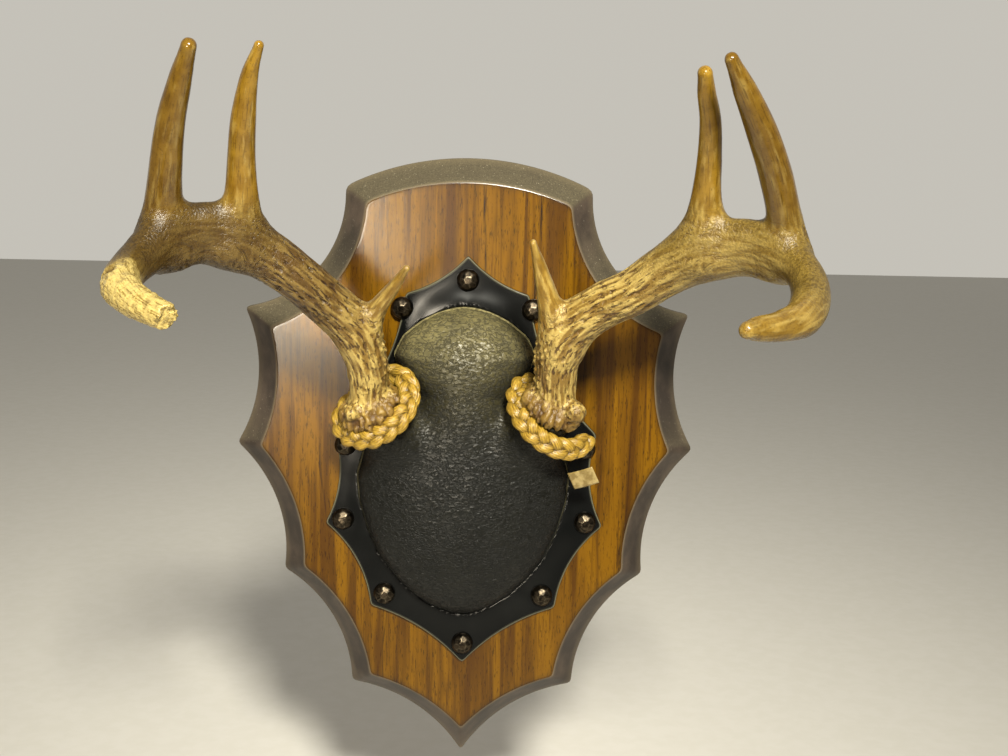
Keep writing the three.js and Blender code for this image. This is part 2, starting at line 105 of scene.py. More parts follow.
class Lattice:
    """Random numbers tied to the corners of a unit lattice, the same for the same seed."""

    SIZE = 256
    GAIN = 1.6

    def __init__(self, seed: int) -> None:
        """Draws the tables for a seed."""
        draw = np.random.default_rng(seed)
        self.order = draw.permutation(self.SIZE)
        self.slopes = unit(draw.normal(size=(self.SIZE, 3)))
        self.places = draw.random((self.SIZE, 3))

    def pick(self, cells: Array) -> Array:
        """Gives each lattice cell its row in the tables.

        Args:
            cells: Each cell's three whole numbers.

        Returns:
            A row of the tables for each cell.
        """
        last = self.SIZE - 1
        wrapped = cells & last
        first = self.order[wrapped[..., 0]]
        second = self.order[(first + wrapped[..., 1]) & last]
        return self.order[(second + wrapped[..., 2]) & last]

    def waves(self, points: Array) -> Array:
        """Gradient noise of about -1 to 1.

        Each lattice corner holds a random slope. The value is the blend, faded by
        6t^5 - 15t^4 + 10t^3 along each axis, of the eight slopes' heights at the point.

        Args:
            points: Places, in lattice cells.

        Returns:
            The noise at each point.
        """
        base = np.floor(points).astype(int)
        part = points - base
        fade = part**3 * (part * (part * 6.0 - 15.0) + 10.0)
        total = np.zeros(len(points))
        for corner in product((0, 1), repeat=3):
            step = np.array(corner)
            share = np.where(step == 1, fade, 1.0 - fade).prod(axis=1)
            total += share * (self.slopes[self.pick(base + step)] * (part - step)).sum(axis=1)
        return total * self.GAIN

    def layers(self, points: Array, count: int = 3) -> Array:
        """Sums waves of halving size and height."""
        return sum(self.waves(points * 2.0**i + 17.3 * i) / 2.0**i for i in range(count))

    def pebbles(self, points: Array) -> tuple[Array, Array]:
        """Measures how far one random point per lattice cell lies.

        Args:
            points: Places, in lattice cells.

        Returns:
            Distances to the nearest and to the second nearest random point.
        """
        base = np.floor(points).astype(int)
        near = np.full(len(points), 9.0)
        second = np.full(len(points), 9.0)
        for offset in product((-1, 0, 1), repeat=3):
            cell = base + np.array(offset)
            away = np.linalg.norm(points - cell - self.places[self.pick(cell)], axis=1)
            second = np.minimum(second, np.maximum(near, away))
            near = np.minimum(near, away)
        return near, second


# ---- meshes


def make_piece(
    name: str,
    points: Array,
    faces: list[Array],
    finishes: list[Material],
    face_finish: Array | None = None,
    attributes: dict[str, Array] | None = None,
    uv: Array | None = None,
    smooth: bool = True,
) -> Object:
    """Makes a mesh object at the origin from arrays.

    Args:
        name: The piece's name.
        points: Vertex places in millimetres, one row each.
        faces: Arrays of faces, each with one row of vertex numbers per face.
        finishes: The materials, in slot order.
        face_finish: Each face's slot, in the order of faces. Slot 0 if left out.
        attributes: Values stored per vertex, one number or three each.
        uv: A U and V for each vertex.
        smooth: Whether the faces are shaded smooth.

    Returns:
        The new object, linked to the scene.
    """
    mesh = bpy.data.meshes.new(name)
    rows = [row for block in faces for row in block.tolist()]
    mesh.from_pydata((points * MM).tolist(), [], rows)
    for material in finishes:
        mesh.materials.append(material)
    if face_finish is not None:
        mesh.polygons.foreach_set("material_index", face_finish.astype(np.int32))
    mesh.polygons.foreach_set("use_smooth", np.full(len(rows), smooth))
    for label, values in (attributes or {}).items():
        kind = "FLOAT" if values.ndim == 1 else "FLOAT_VECTOR"
        layer = mesh.attributes.new(label, kind, "POINT")
        key = "value" if values.ndim == 1 else "vector"
        layer.data.foreach_set(key, values.astype(np.float32).ravel())
    if uv is not None:
        corners = np.empty(len(mesh.loops), dtype=np.int32)
        mesh.loops.foreach_get("vertex_index", corners)
        layer = mesh.uv_layers.new(name="UVMap")
        layer.data.foreach_set("uv", uv[corners].astype(np.float32).ravel())
    mesh.update()
    made = bpy.data.objects.new(name, mesh)
    bpy.context.scene.collection.objects.link(made)
    return made


def place(piece: Object, slot: Slot, *nodes: str) -> Object:
    """Rides a piece on the one body, and lets it stand for its CAD nodes.

    Args:
        piece: The piece.
        slot: Not used.
        *nodes: The CAD nodes that it replaces.

    Returns:
        The same piece.
    """
    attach(piece, "root")
    if nodes:
        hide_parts(*nodes)
    log.info("%s: %d faces", piece.name, len(piece.data.polygons))
    return piece


def grid_faces(rows: int, columns: int, around: bool = True) -> Array:
    """Quads over a grid of vertices numbered row by row.

    Args:
        rows: How many rows of vertices.
        columns: How many vertices in each row.
        around: Whether each row closes on itself.

    Returns:
        One row of four vertex numbers per quad, turning from column to next row.
    """
    across = np.arange(columns if around else columns - 1)
    row, column = np.meshgrid(np.arange(rows - 1), across, indexing="ij")
    beside = (column + 1) % columns
    corners = (row * columns + column, row * columns + beside,
               (row + 1) * columns + beside, (row + 1) * columns + column)
    return np.stack(corners, axis=-1).reshape(-1, 4)


def fan_faces(first: int, columns: int, centre: int, outward: bool) -> Array:
    """Triangles from one row of a closed grid to a centre vertex.

    Args:
        first: Number of the row's first vertex.
        columns: How many vertices the row has.
        centre: Number of the centre vertex.
        outward: Whether they turn as the row does.

    Returns:
        One row of three vertex numbers per triangle.
    """
    across = np.arange(columns)
    beside = (across + 1) % columns
    ends = (across, beside) if outward else (beside, across)
    return np.stack([first + ends[0], first + ends[1], np.full(columns, centre)], axis=-1)


@dataclass(frozen=True)
class Trace:
    """A smooth path with an oval section carried along it.

    A span between two stations is cut in SPAN steps before it is resampled, a path has at least
    FEWEST samples, and its short way is drawn to the flat direction by PULL at each sample.
    """

    SPAN = 16
    FEWEST = 8
    PULL = 0.08

    centre: Array
    along: Array
    short: Array
    wide: Array
    half_width: Array
    half_depth: Array
    arc: Array

    @staticmethod
    def through(stations: Array, flat: Array, spacing: float = 0.8) -> "Trace":
        """Follows stations of x, y, z, width and thickness share.

        The path is a Catmull-Rom curve, resampled evenly. The section's short way is carried
        along without twisting and drawn towards the flat direction.

        Args:
            stations: One row per station.
            flat: The direction that the section's short way is drawn to.
            spacing: Distance between samples.

        Returns:
            The path's samples.
        """
        padded = np.vstack([2 * stations[0] - stations[1], stations,
                            2 * stations[-1] - stations[-2]])
        padded[0, 3:], padded[-1, 3:] = stations[0, 3:], stations[-1, 3:]
        share = np.linspace(0.0, 1.0, Trace.SPAN, endpoint=False)[:, None]
        before, start, end, after = (padded[i:len(padded) - 3 + i] for i in range(4))
        spans = [
            0.5 * (2 * b + (c - a) * share + (2 * a - 5 * b + 4 * c - d) * share**2
                   + (3 * b - a - 3 * c + d) * share**3)
            for a, b, c, d in zip(before, start, end, after)
        ]
        dense = np.vstack([*spans, stations[-1:]])
        steps = np.linalg.norm(np.diff(dense[:, :3], axis=0), axis=1)
        travel = np.concatenate([[0.0], np.cumsum(steps)])
        count = max(Trace.FEWEST, int(round(travel[-1] / spacing)))
        arc = np.linspace(0.0, travel[-1], count)
        even = np.stack([np.interp(arc, travel, dense[:, i]) for i in range(5)], axis=1)
        along = unit(np.gradient(even[:, :3], axis=0))
        ways = []
        way = np.array(flat, dtype=float)
        for tangent in along:
            way = unit(way - tangent * (way @ tangent))
            way = way + flat * Trace.PULL * np.sign(way @ flat)
            way = unit(way - tangent * (way @ tangent))
            ways.append(way)
        short = np.array(ways)
        half = even[:, 3] / 2
        return Trace(even[:, :3], along, short, np.cross(along, short), half,
                     half * even[:, 4], arc)

    def nearest(self, points: Array) -> Array:
        """Finds the nearest sample to each point.

        Args:
            points: The places.

        Returns:
            The number of each point's sample.
        """
        found = np.empty(len(points), dtype=int)
        path = self.centre.astype(np.float32)
        lengths = (path**2).sum(axis=1)
        for start in range(0, len(points), AT_ONCE):
            chunk = points[start:start + AT_ONCE].astype(np.float32)
            found[start:start + AT_ONCE] = (lengths - 2 * chunk @ path.T).argmin(axis=1)
        return found

    def local(self, points: Array, sample: Array) -> Array:
        """Gives each point's offset from its sample: along, across the wide way, and deep."""
        away = points - self.centre[sample]
        return np.stack([(away * self.along[sample]).sum(axis=1),
                         (away * self.wide[sample]).sum(axis=1),
                         (away * self.short[sample]).sum(axis=1)], axis=1)

    def depth(self, points: Array, sample: Array) -> Array:
        """Signed distance to the swept oval, negative inside.

        With k the point's offset measured in section radii and r its length, the distance
        towards the axis is r (1 - 1 / k). The ends close as half ovals.

        Args:
            points: The places.
            sample: The number of each point's sample.

        Returns:
            The distance of each point.
        """
        offset = self.local(points, sample)
        width, deep = self.half_width[sample], self.half_depth[sample]
        end = np.minimum(width, deep)
        k = np.sqrt((offset[:, 0] / end) ** 2 + (offset[:, 1] / width) ** 2
                    + (offset[:, 2] / deep) ** 2)
        return np.linalg.norm(offset, axis=1) * (1.0 - 1.0 / np.maximum(k, 0.05))

    def tube(self, sides: int, rounding: int = 4) -> tuple[Array, list[Array]]:
        """Skins the path with a tube whose ends close as domes.

        A point at angle a of a row is centre + wide cos(a) half_width - short sin(a) half_depth.
        The dome rows shrink by cos(b) and move out by sin(b) times the radius.

        Args:
            sides: Vertices round the tube.
            rounding: Rows in each dome.

        Returns:
            The vertices and their faces.
        """
        bend = np.linspace(0, math.pi / 2, rounding + 1)[1:-1]
        first = np.zeros(len(bend), dtype=int)
        last = np.full(len(bend), len(self.centre) - 1)
        index = np.concatenate([first, np.arange(len(self.centre)), last])
        shrink = np.concatenate([np.cos(bend[::-1]), np.ones(len(self.centre)), np.cos(bend)])
        push = np.concatenate([-np.sin(bend[::-1]), np.zeros(len(self.centre)), np.sin(bend)])
        radius = np.minimum(self.half_width, self.half_depth)[index]
        middle = self.centre[index] + self.along[index] * (push * radius)[:, None]
        angle = np.linspace(0, 2 * math.pi, sides, endpoint=False)[None, :, None]
        across = self.wide[index] * (self.half_width[index] * shrink)[:, None]
        deep = self.short[index] * (self.half_depth[index] * shrink)[:, None]
        rows = (middle[:, None] + across[:, None] * np.cos(angle)
                - deep[:, None] * np.sin(angle))
        poles = [self.centre[0] - self.along[0] * radius[0],
                 self.centre[-1] + self.along[-1] * radius[-1]]
        points = np.vstack([rows.reshape(-1, 3), poles])
        total = len(index) * sides
        return points, [grid_faces(len(index), sides),
                        fan_faces(0, sides, total, False),
                        fan_faces(total - sides, sides, total + 1, True)]


def join_softly(first: Array, second: Array, width: float) -> Array:
    """Union of two signed distances with a fillet: min(a, b) - h^2 width / 4.

    h is how far the two are from differing by the width, as a share of it.
    """
    h = np.maximum(width - np.abs(first - second), 0.0) / width
    return np.minimum(first, second) - h * h * width * 0.25


class SoftForm:
    """A closed form given as a signed distance, and skinned with a net of quads.

    The distance is first taken at every COARSE lattice point along each axis, and then at all
    points that may lie within NEAR cells of the surface.
    """

    COARSE = 4
    NEAR = 9.0

    def depth(self, points: Array) -> Array:
        """Signed distance of each point, negative inside."""
        raise NotImplementedError

    def slope(self, points: Array, step: float = 0.15) -> Array:
        """Rate of change of the distance along each axis, by central differences.

        Args:
            points: The places.
            step: How far to each side the distance is taken.

        Returns:
            One row of three for each point.
        """
        parts = []
        for axis in np.eye(3) * step:
            parts.append((self.depth(points + axis) - self.depth(points - axis)) / (2 * step))
        return np.stack(parts, axis=1)

    def skin(self, low: Array, high: Array, cell: float,
             splits: int = 1) -> tuple[Array, Array]:
        """Skins the form between two corners.

        Each lattice cell that the surface crosses gets one vertex, at the mean of the places
        where the surface cuts the cell's edges. Each lattice edge that it crosses gets one quad,
        through the four cells round it. Each quad is then split in four, and the vertices
        are brought onto the form along its slope.

        Args:
            low: Lowest corner of the lattice.
            high: Highest corner of the lattice.
            cell: The lattice's spacing.
            splits: How many times each quad is split in four.

        Returns:
            The vertices, and quads that face outwards.
        """
        blocks = np.ceil((high - low) / cell / self.COARSE).astype(int) + 1
        shape = blocks * self.COARSE + 1
        field_values = self.lattice(low, shape, cell)
        points, quads = net_of_quads(field_values, low, cell)
        points = self.settle(points, 3)
        for _ in range(splits):
            points, quads = split_quads(points, quads)
            points = self.settle(points, 2)
        return points, quads

    def lattice(self, low: Array, shape: Array, cell: float) -> Array:
        """Fills a lattice with distances: coarsely at first, then exactly near the surface.

        Args:
            low: Place of the first lattice point.
            shape: How many lattice points along each axis.
            cell: The lattice's spacing.

        Returns:
            The distances, on three axes.
        """
        coarse_axes = [low[i] + np.arange(0, shape[i], self.COARSE) * cell for i in range(3)]
        coarse = np.stack(np.meshgrid(*coarse_axes, indexing="ij"), axis=-1)
        rough = self.depth(coarse.reshape(-1, 3)).reshape(coarse.shape[:3])
        full = rough.repeat(self.COARSE, 0).repeat(self.COARSE, 1).repeat(self.COARSE, 2)
        full = full[:shape[0], :shape[1], :shape[2]].copy()
        near = np.argwhere(np.abs(full) < cell * self.NEAR)
        full[tuple(near.T)] = self.depth(low + near * cell)
        return full

    def settle(self, points: Array, rounds: int) -> Array:
        """Moves points onto the surface: p - d g / |g|^2, a few times over.

        Args:
            points: Places near the surface.
            rounds: How many times they are moved.

        Returns:
            Their places on the surface.
        """
        for _ in range(rounds):
            slope = self.slope(points)
            size = np.maximum((slope**2).sum(axis=1), 0.2)
            step = np.clip(self.depth(points) / size, -1.0, 1.0)
            points = points - slope * step[:, None]
        return points


def net_of_quads(values: Array, low: Array,
                 cell: float) -> tuple[Array, Array]:
    """Finds the zero surface of a lattice of signed distances.

    Args:
        values: The distances, on a lattice of three axes.
        low: Place of the first lattice point.
        cell: The lattice's spacing.

    Returns:
        One vertex per crossed cell, and one quad per crossed lattice edge.
    """
    size = np.array(values.shape) - 1
    corners = {c: values[c[0]:c[0] + size[0], c[1]:c[1] + size[1], c[2]:c[2] + size[2]]
               for c in product((0, 1), repeat=3)}
    inside = sum((block < 0).astype(np.int8) for block in corners.values())
    crossed = np.argwhere((inside > 0) & (inside < 8))
    number = np.full(tuple(size), -1)
    number[tuple(crossed.T)] = np.arange(len(crossed))
    held = {c: block[tuple(crossed.T)] for c, block in corners.items()}
    total = np.zeros((len(crossed), 3))
    cuts = np.zeros(len(crossed))
    for start in held:
        for axis in range(3):
            if start[axis]:
                continue
            end = tuple(1 if i == axis else start[i] for i in range(3))
            change = (held[start] < 0) != (held[end] < 0)
            share = np.where(change, held[start] / (held[start] - held[end] + 1e-12), 0.0)
            spot = np.array(start) + share[:, None] * np.eye(3)[axis]
            total += np.where(change[:, None], spot, 0.0)
            cuts += change
    points = low + (crossed + total / cuts[:, None]) * cell
    quads = []
    for axis in range(3):
        second, third = (axis + 1) % 3, (axis + 2) % 3
        stop = [slice(None)] * 3
        begin = [slice(None)] * 3
        begin[axis], stop[axis] = slice(0, -1), slice(1, None)
        here, there = values[tuple(begin)] < 0, values[tuple(stop)] < 0
        edges = np.argwhere(here != there)
        edges = edges[(edges[:, second] > 0) & (edges[:, third] > 0)
                      & (edges[:, second] < size[second]) & (edges[:, third] < size[third])]
        step = np.eye(3, dtype=int)
        ring = [edges, edges - step[second], edges - step[second] - step[third],
                edges - step[third]]
        quad = np.stack([number[tuple(cells.T)] for cells in ring], axis=1)
        leaving = here[tuple(edges.T)]
        quads.append(np.where(leaving[:, None], quad, quad[:, ::-1]))
    return points, np.concatenate(quads)


def split_quads(points: Array, quads: Array) -> tuple[Array, Array]:
    """Splits each quad in four at its edges' middles and its own middle.

    Args:
        points: The vertices.
        quads: Four vertex numbers per quad.

    Returns:
        The old and new vertices, and the smaller quads.
    """
    pairs = np.stack([quads, np.roll(quads, -1, axis=1)], axis=-1)
    flat = np.sort(pairs.reshape(-1, 2), axis=1)
    edges, where = np.unique(flat, axis=0, return_inverse=True)
    middles = points[edges].mean(axis=1)
    centres = points[quads].mean(axis=1)
    side = where.reshape(-1, 4) + len(points)
    centre = np.arange(len(quads)) + len(points) + len(middles)
    parts = [np.stack([quads[:, i], side[:, i], centre, side[:, i - 1]], axis=1)
             for i in range(4)]
    return np.vstack([points, middles, centres]), np.concatenate(parts)


# ---- finishes


def colour(code: str) -> tuple[float, float, float, float]:
    """Turns an sRGB hex code to linear light, by the standard's own curve.

    Args:
        code: A hash sign and six hex digits.

    Returns:
        Linear red, green and blue, and an alpha of 1.
    """
    parts = [int(code[i:i + 2], 16) / 255 for i in (1, 3, 5)]
    linear = [p / 12.92 if p <= 0.04045 else ((p + 0.055) / 1.055) ** 2.4 for p in parts]
    return (*linear, 1.0)


class Kind(Enum):
    """The kinds of node in use: type, own settings, sockets in order, and output.

    NOISE gives a value and DRIFT a vector. CELLS gives the distance to the nearest of one random
    point per cell. RAMP maps a value smoothly from one range to another, and FADE evenly.
    """

    PLACE = ("TexCoord", {}, (), "Object")
    WAY = ("TexCoord", {}, (), "Generated")
    THREAD = ("UVMap", {"uv_map": "UVMap"}, (), 0)
    FACING = ("NewGeometry", {}, (), "Normal")
    STORED = ("Attribute", {}, (), "Fac")
    STORED_PLACE = ("Attribute", {}, (), "Vector")
    SPLIT = ("SeparateXYZ", {}, (0,), 0)
    STRETCH = ("Mapping", {}, ("Vector", "Scale"), 0)
    SHIFT = ("VectorMath", {"operation": "MULTIPLY_ADD"}, (0, 1, 2), 0)
    NOISE = ("TexNoise", {}, ("Vector", "Scale", "Detail", "Roughness", "Distortion"), 0)
    DRIFT = ("TexNoise", {}, ("Vector", "Scale", "Detail"), 1)
    CELLS = ("TexVoronoi", {"feature": "SMOOTH_F1"}, ("Vector", "Scale"), 0)
    RAMP = ("MapRange", {"interpolation_type": "SMOOTHSTEP"}, (0, 1, 2, 3, 4), 0)
    FADE = ("MapRange", {}, (0, 1, 2, 3, 4), 0)
    ADD = ("Math", {"operation": "ADD"}, (0, 1), 0)
    SUBTRACT = ("Math", {"operation": "SUBTRACT"}, (0, 1), 0)
    MULTIPLY = ("Math", {"operation": "MULTIPLY"}, (0, 1), 0)
    MAXIMUM = ("Math", {"operation": "MAXIMUM"}, (0, 1), 0)
    ABSOLUTE = ("Math", {"operation": "ABSOLUTE"}, (0,), 0)
    MIX = ("Mix", {"data_type": "RGBA"}, (0, 6, 7), 2)
    TINT = ("Mix", {"data_type": "RGBA", "blend_type": "MULTIPLY"}, (0, 6, 7), 2)
    BUMP = ("Bump", {}, ("Height", "Strength", "Distance"), 0)


def add(owner: Owner, kind: Kind, *feeds: Feed, **settings: str) -> NodeSocket:
    """Adds one node with its settings and links.

    Args:
        owner: The material or world that it is added to.
        kind: The kind of node.
        *feeds: What its sockets are given, in the kind's order. A value is set, and an output is
            linked. Sockets past the last one keep the node's own values.
        **settings: Properties of the node, besides those of its kind.

    Returns:
        The output that its kind names.
    """
    type_name, own, sockets, output = kind.value
    tree = owner.node_tree
    node = tree.nodes.new(f"ShaderNode{type_name}")
    for key, value in {**own, **settings}.items():
        setattr(node, key, value)
    for socket, feed in zip(sockets, feeds):
        if isinstance(feed, NodeSocket):
            tree.links.new(feed, node.inputs[socket])
        else:
            node.inputs[socket].default_value = feed
    return node.outputs[output]


def wire(shader: Node, **feeds: NodeSocket) -> None:
    """Links outputs to a shader's sockets, which are named with underscores for spaces."""
    for name, feed in feeds.items():
        shader.id_data.links.new(feed, shader.inputs[name.replace("_", " ")])


@dataclass(frozen=True)
class Finish:
    """A finish: what its shader is set to, and how its patterns are wired."""

    name: str
    roughness: float = 0.5
    metallic: float = 0.0
    ior: float = 1.5

    def start(self) -> tuple[Material, Node]:
        """Starts the material.

        Returns:
            The material, and its shader with its own sockets set.
        """
        material = bpy.data.materials.new(self.name)
        material.use_nodes = True
        shader = material.node_tree.nodes["Principled BSDF"]
        shader.inputs["Roughness"].default_value = self.roughness
        shader.inputs["Metallic"].default_value = self.metallic
        if not self.metallic:
            shader.inputs["IOR"].default_value = self.ior
        return material, shader

    def blend(self, owner: Owner, pattern: NodeSocket, span: tuple,
              *codes: str) -> NodeSocket:
        """Goes from the first colour to the second as a pattern goes over a span."""
        share = add(owner, Kind.RAMP, pattern, *span)
        return add(owner, Kind.MIX, share, *(colour(code) for code in codes))

    def make(self) -> Material:
        """Makes the material.

        Returns:
            The finished material.
        """
        raise NotImplementedError


@dataclass(frozen=True)
class GrownAntler(Finish):
    """Antler bone: grown in furrows, stained by bark and rubbed smooth on its tines.

    It reads as pale cream ridges over red-brown furrows low on the beam, and as glossy honey
    on the tines. The vertex values say where it is furrowed, polished, dusty, darkened by painted
    shade, pitted, crumbled or cracked, and "grain" holds the place along and across the limb, in
    millimetres, with the length along it divided by 4, for pits and fine lines.
    """

    cream: str = "#b59d58"
    tan: str = "#7a5f26"
    bark: str = "#3b220b"
    honey: str = "#8c6c20"
    amber: str = "#6c4e0e"
    umber: str = "#4a3308"
    shadow: str = "#6b5423"
    dust_low: str = "#52400f"
    dust_high: str = "#7c6628"
    chalk_low: str = "#7d672f"
    chalk_high: str = "#b9a463"
    polish_gain: float = 0.2
    relief: float = 0.5

    def make(self) -> Material:
        """Makes the material, from its rough bone up to its film, furrows and bare break."""
        m, shader = self.start()
        spot = add(m, Kind.PLACE)
        grain = add(m, Kind.STORED_PLACE, attribute_name="grain")
        streak, polish, dusty, furrow, shade, pitted, chalk, crack = (
            add(m, Kind.STORED, attribute_name=name)
            for name in ("streak", "polish", "dusty", "furrow", "shade", "pitted", "chalk",
                         "crack"))
        fine = add(m, Kind.NOISE, spot, 1000.0, 2.0, 0.6)
        mottle = add(m, Kind.NOISE, spot, 130.0, 4.0, 0.55)
        pits = add(m, Kind.RAMP, add(m, Kind.NOISE, grain, 0.85, 2.0, 0.5), 0.55, 0.66)
        pits = add(m, Kind.MULTIPLY, pits, pitted)
        long_way = add(m, Kind.STRETCH, grain, (0.3, 1.0, 1.0))
        lines = add(m, Kind.NOISE, long_way, 1.3, 2.0, 0.55)

        rough = self.blend(m, streak, (0.34, 0.66), self.tan, self.cream)
        rough = add(m, Kind.MIX, add(m, Kind.RAMP, lines, 0.5, 0.3, 0.0, 0.5), rough,
                    colour(self.tan))
        smooth = self.blend(m, mottle, (0.22, 0.74), self.amber, self.honey)
        for pattern, low, high, most, stain in ((streak, 0.5, 0.9, 0.5, self.cream),
                                                (lines, 0.48, 0.3, 0.6, self.umber),
                                                (fine, 0.4, 0.3, 0.4, self.bark)):
            share = add(m, Kind.RAMP, pattern, low, high, 0.0, most)
            smooth = add(m, Kind.MIX, share, smooth, colour(stain))
        base = add(m, Kind.MIX, polish, rough, smooth)

        settled = add(m, Kind.ADD, fine, add(m, Kind.MULTIPLY, mottle, 0.6))
        film = self.blend(m, settled, (0.6, 1.0), self.dust_low, self.dust_high)
        base = add(m, Kind.MIX, dusty, base, film)
        sunk = add(m, Kind.MAXIMUM, furrow, add(m, Kind.MULTIPLY, pits, 0.85))
        base = add(m, Kind.MIX, sunk, base, colour(self.bark))
        # painted shade: the shade value darkens the bone towards the shadow colour
        base = add(m, Kind.TINT, shade, base, colour(self.shadow))
        loose = add(m, Kind.ADD, add(m, Kind.MULTIPLY, lines, 0.6),
                    add(m, Kind.MULTIPLY, fine, 0.4))
        crumbs = self.blend(m, loose, (0.36, 0.54), self.chalk_low, self.chalk_high)
        base = add(m, Kind.MIX, chalk, base, crumbs)
        base = add(m, Kind.MIX, crack, base, colour(self.bark))

        gained = add(m, Kind.MULTIPLY, polish, self.polish_gain)
        rise = add(m, Kind.MULTIPLY, fine, add(m, Kind.RAMP, polish, 0.2, 1.0, 1.0, 0.12))
        rise = add(m, Kind.SUBTRACT, rise, pits)
        rise = add(m, Kind.ADD, rise, add(m, Kind.MULTIPLY, chalk, loose))
        wire(shader, Base_Color=base, Roughness=add(m, Kind.SUBTRACT, self.roughness, gained),
             Normal=add(m, Kind.BUMP, rise, 0.75, self.relief * MM))
        return m


@dataclass(frozen=True)
class StainedWood(Finish):
    """Pine board, stained honey-amber and varnished, with its grain upright.

    The rings show as long upright streaks 3 to 8 mm apart, with dark mineral lines among them.
    Each row of streaks is one such line: its x, width, lowest and highest z, and strength.
    """

    honey: str = "#694702"
    amber: str = "#452a02"
    umber: str = "#3f2402"
    dark: str = "#150a02"
    rubbed: str = "#1d130a"
    streaks: tuple = ((8, 1.1, 82, 133, 1.0), (34.5, 1.2, 30, 131, 0.9), (13, 4.5, 101, 122, 0.4),
                      (-37, 0.8, 90, 131, 0.6), (-70, 0.8, -40, 10, 0.9),
                      (78, 1.0, -60, 30, 0.6), (-38, 0.7, -140, -70, 0.7))
    fade: float = 12
    sway: float = 20
    relief: float = 0.15

    def make(self) -> Material:
        """Makes the material, from its rings and pores up to its mineral lines."""
        m, shader = self.start()
        spot = add(m, Kind.PLACE)
        long_way = add(m, Kind.STRETCH, spot, (1000.0, 300.0, 38.0))
        slow_way = add(m, Kind.STRETCH, spot, (60.0, 30.0, 9.0))
        pore_way = add(m, Kind.STRETCH, spot, (2000.0, 600.0, 260.0))
        bend = add(m, Kind.NOISE, slow_way, 1.0, 2.0, 0.55)
        rings = add(m, Kind.NOISE, long_way, 0.14, 3.0, 0.6, 0.6)
        lines = add(m, Kind.NOISE, long_way, 0.7, 3.0, 0.65)
        pores = add(m, Kind.NOISE, pore_way, 1.0, 2.0, 0.55)
        base = self.blend(m, rings, (0.38, 0.58), self.amber, self.honey)
        for pattern, low, high, most, stain in ((lines, 0.48, 0.34, 0.8, self.amber),
                                                (bend, 0.55, 0.3, 0.45, self.umber),
                                                (pores, 0.42, 0.32, 0.6, self.dark)):
            share = add(m, Kind.RAMP, pattern, low, high, 0.0, most)
            base = add(m, Kind.MIX, share, base, colour(stain))

        x_way, _, z_way = add(m, Kind.SPLIT, spot).node.outputs
        swayed = add(m, Kind.ADD, x_way, add(m, Kind.MULTIPLY, add(m, Kind.SUBTRACT, bend, 0.5),
                                             self.sway * MM))
        broken = add(m, Kind.RAMP, lines, 0.68, 0.4)
        for x, width, low, high, strength in self.streaks:
            aside = add(m, Kind.ABSOLUTE, add(m, Kind.SUBTRACT, swayed, x * MM))
            line = add(m, Kind.RAMP, aside, width * MM, 0.0)
            span = add(m, Kind.MULTIPLY,
                       add(m, Kind.RAMP, z_way, low * MM, (low + self.fade) * MM),
                       add(m, Kind.RAMP, z_way, high * MM, (high - self.fade) * MM))
            shown = add(m, Kind.MULTIPLY, add(m, Kind.MULTIPLY, line, span), strength)
            base = add(m, Kind.MIX, add(m, Kind.MULTIPLY, shown, broken), base, colour(self.dark))
        worn = add(m, Kind.MULTIPLY, add(m, Kind.STORED, attribute_name="worn"), 0.55)
        base = add(m, Kind.MIX, worn, base, colour(self.rubbed))
        rise = add(m, Kind.ADD, pores, add(m, Kind.MULTIPLY, lines, 0.4))
        wire(shader, Base_Color=base, Normal=add(m, Kind.BUMP, rise, 0.14, self.relief * MM))
        return m


@dataclass(frozen=True)
class BurntEdge(Finish):
    """The board's bevelled edge: sprayed dark brown over the routed wood, and dusty on top.

    Faces that look up carry an olive-grey film of dust with pale specks.
    """

    brown: str = "#2c231b"
    taupe: str = "#4a3e33"
    dust_low: str = "#3d3728"
    dust_high: str = "#574f3b"
    fleck: str = "#cfc8b4"
    rubbed: str = "#7d6f55"
    relief: float = 0.2

    def make(self) -> Material:
        """Makes the material, from its paint up to its dust and its rubbed corners."""
        m, shader = self.start()
        spot = add(m, Kind.PLACE)
        patch = add(m, Kind.NOISE, spot, 55.0, 4.0, 0.6)
        speck = add(m, Kind.NOISE, spot, 1300.0, 2.0, 0.7)
        base = self.blend(m, patch, (0.35, 0.7), self.brown, self.taupe)
        up = add(m, Kind.SPLIT, add(m, Kind.FACING)).node.outputs[2]
        settled = add(m, Kind.MULTIPLY, add(m, Kind.RAMP, up, 0.1, 0.62),
                      add(m, Kind.RAMP, patch, 0.2, 0.55, 0.72, 1))
        film = self.blend(m, speck, (0.3, 0.7), self.dust_low, self.dust_high)
        base = add(m, Kind.MIX, settled, base, film)
        flecks = add(m, Kind.MULTIPLY, add(m, Kind.RAMP, speck, 0.68, 0.76),
                     add(m, Kind.RAMP, up, -0.2, 0.4))
        base = add(m, Kind.MIX, flecks, base, colour(self.fleck))
        worn = add(m, Kind.MULTIPLY, add(m, Kind.STORED, attribute_name="worn"), 0.4)
        base = add(m, Kind.MIX, worn, base, colour(self.rubbed))
        rise = add(m, Kind.ADD, patch, speck)
        wire(shader, Base_Color=base, Normal=add(m, Kind.BUMP, rise, 0.3, self.relief * MM))
        return m


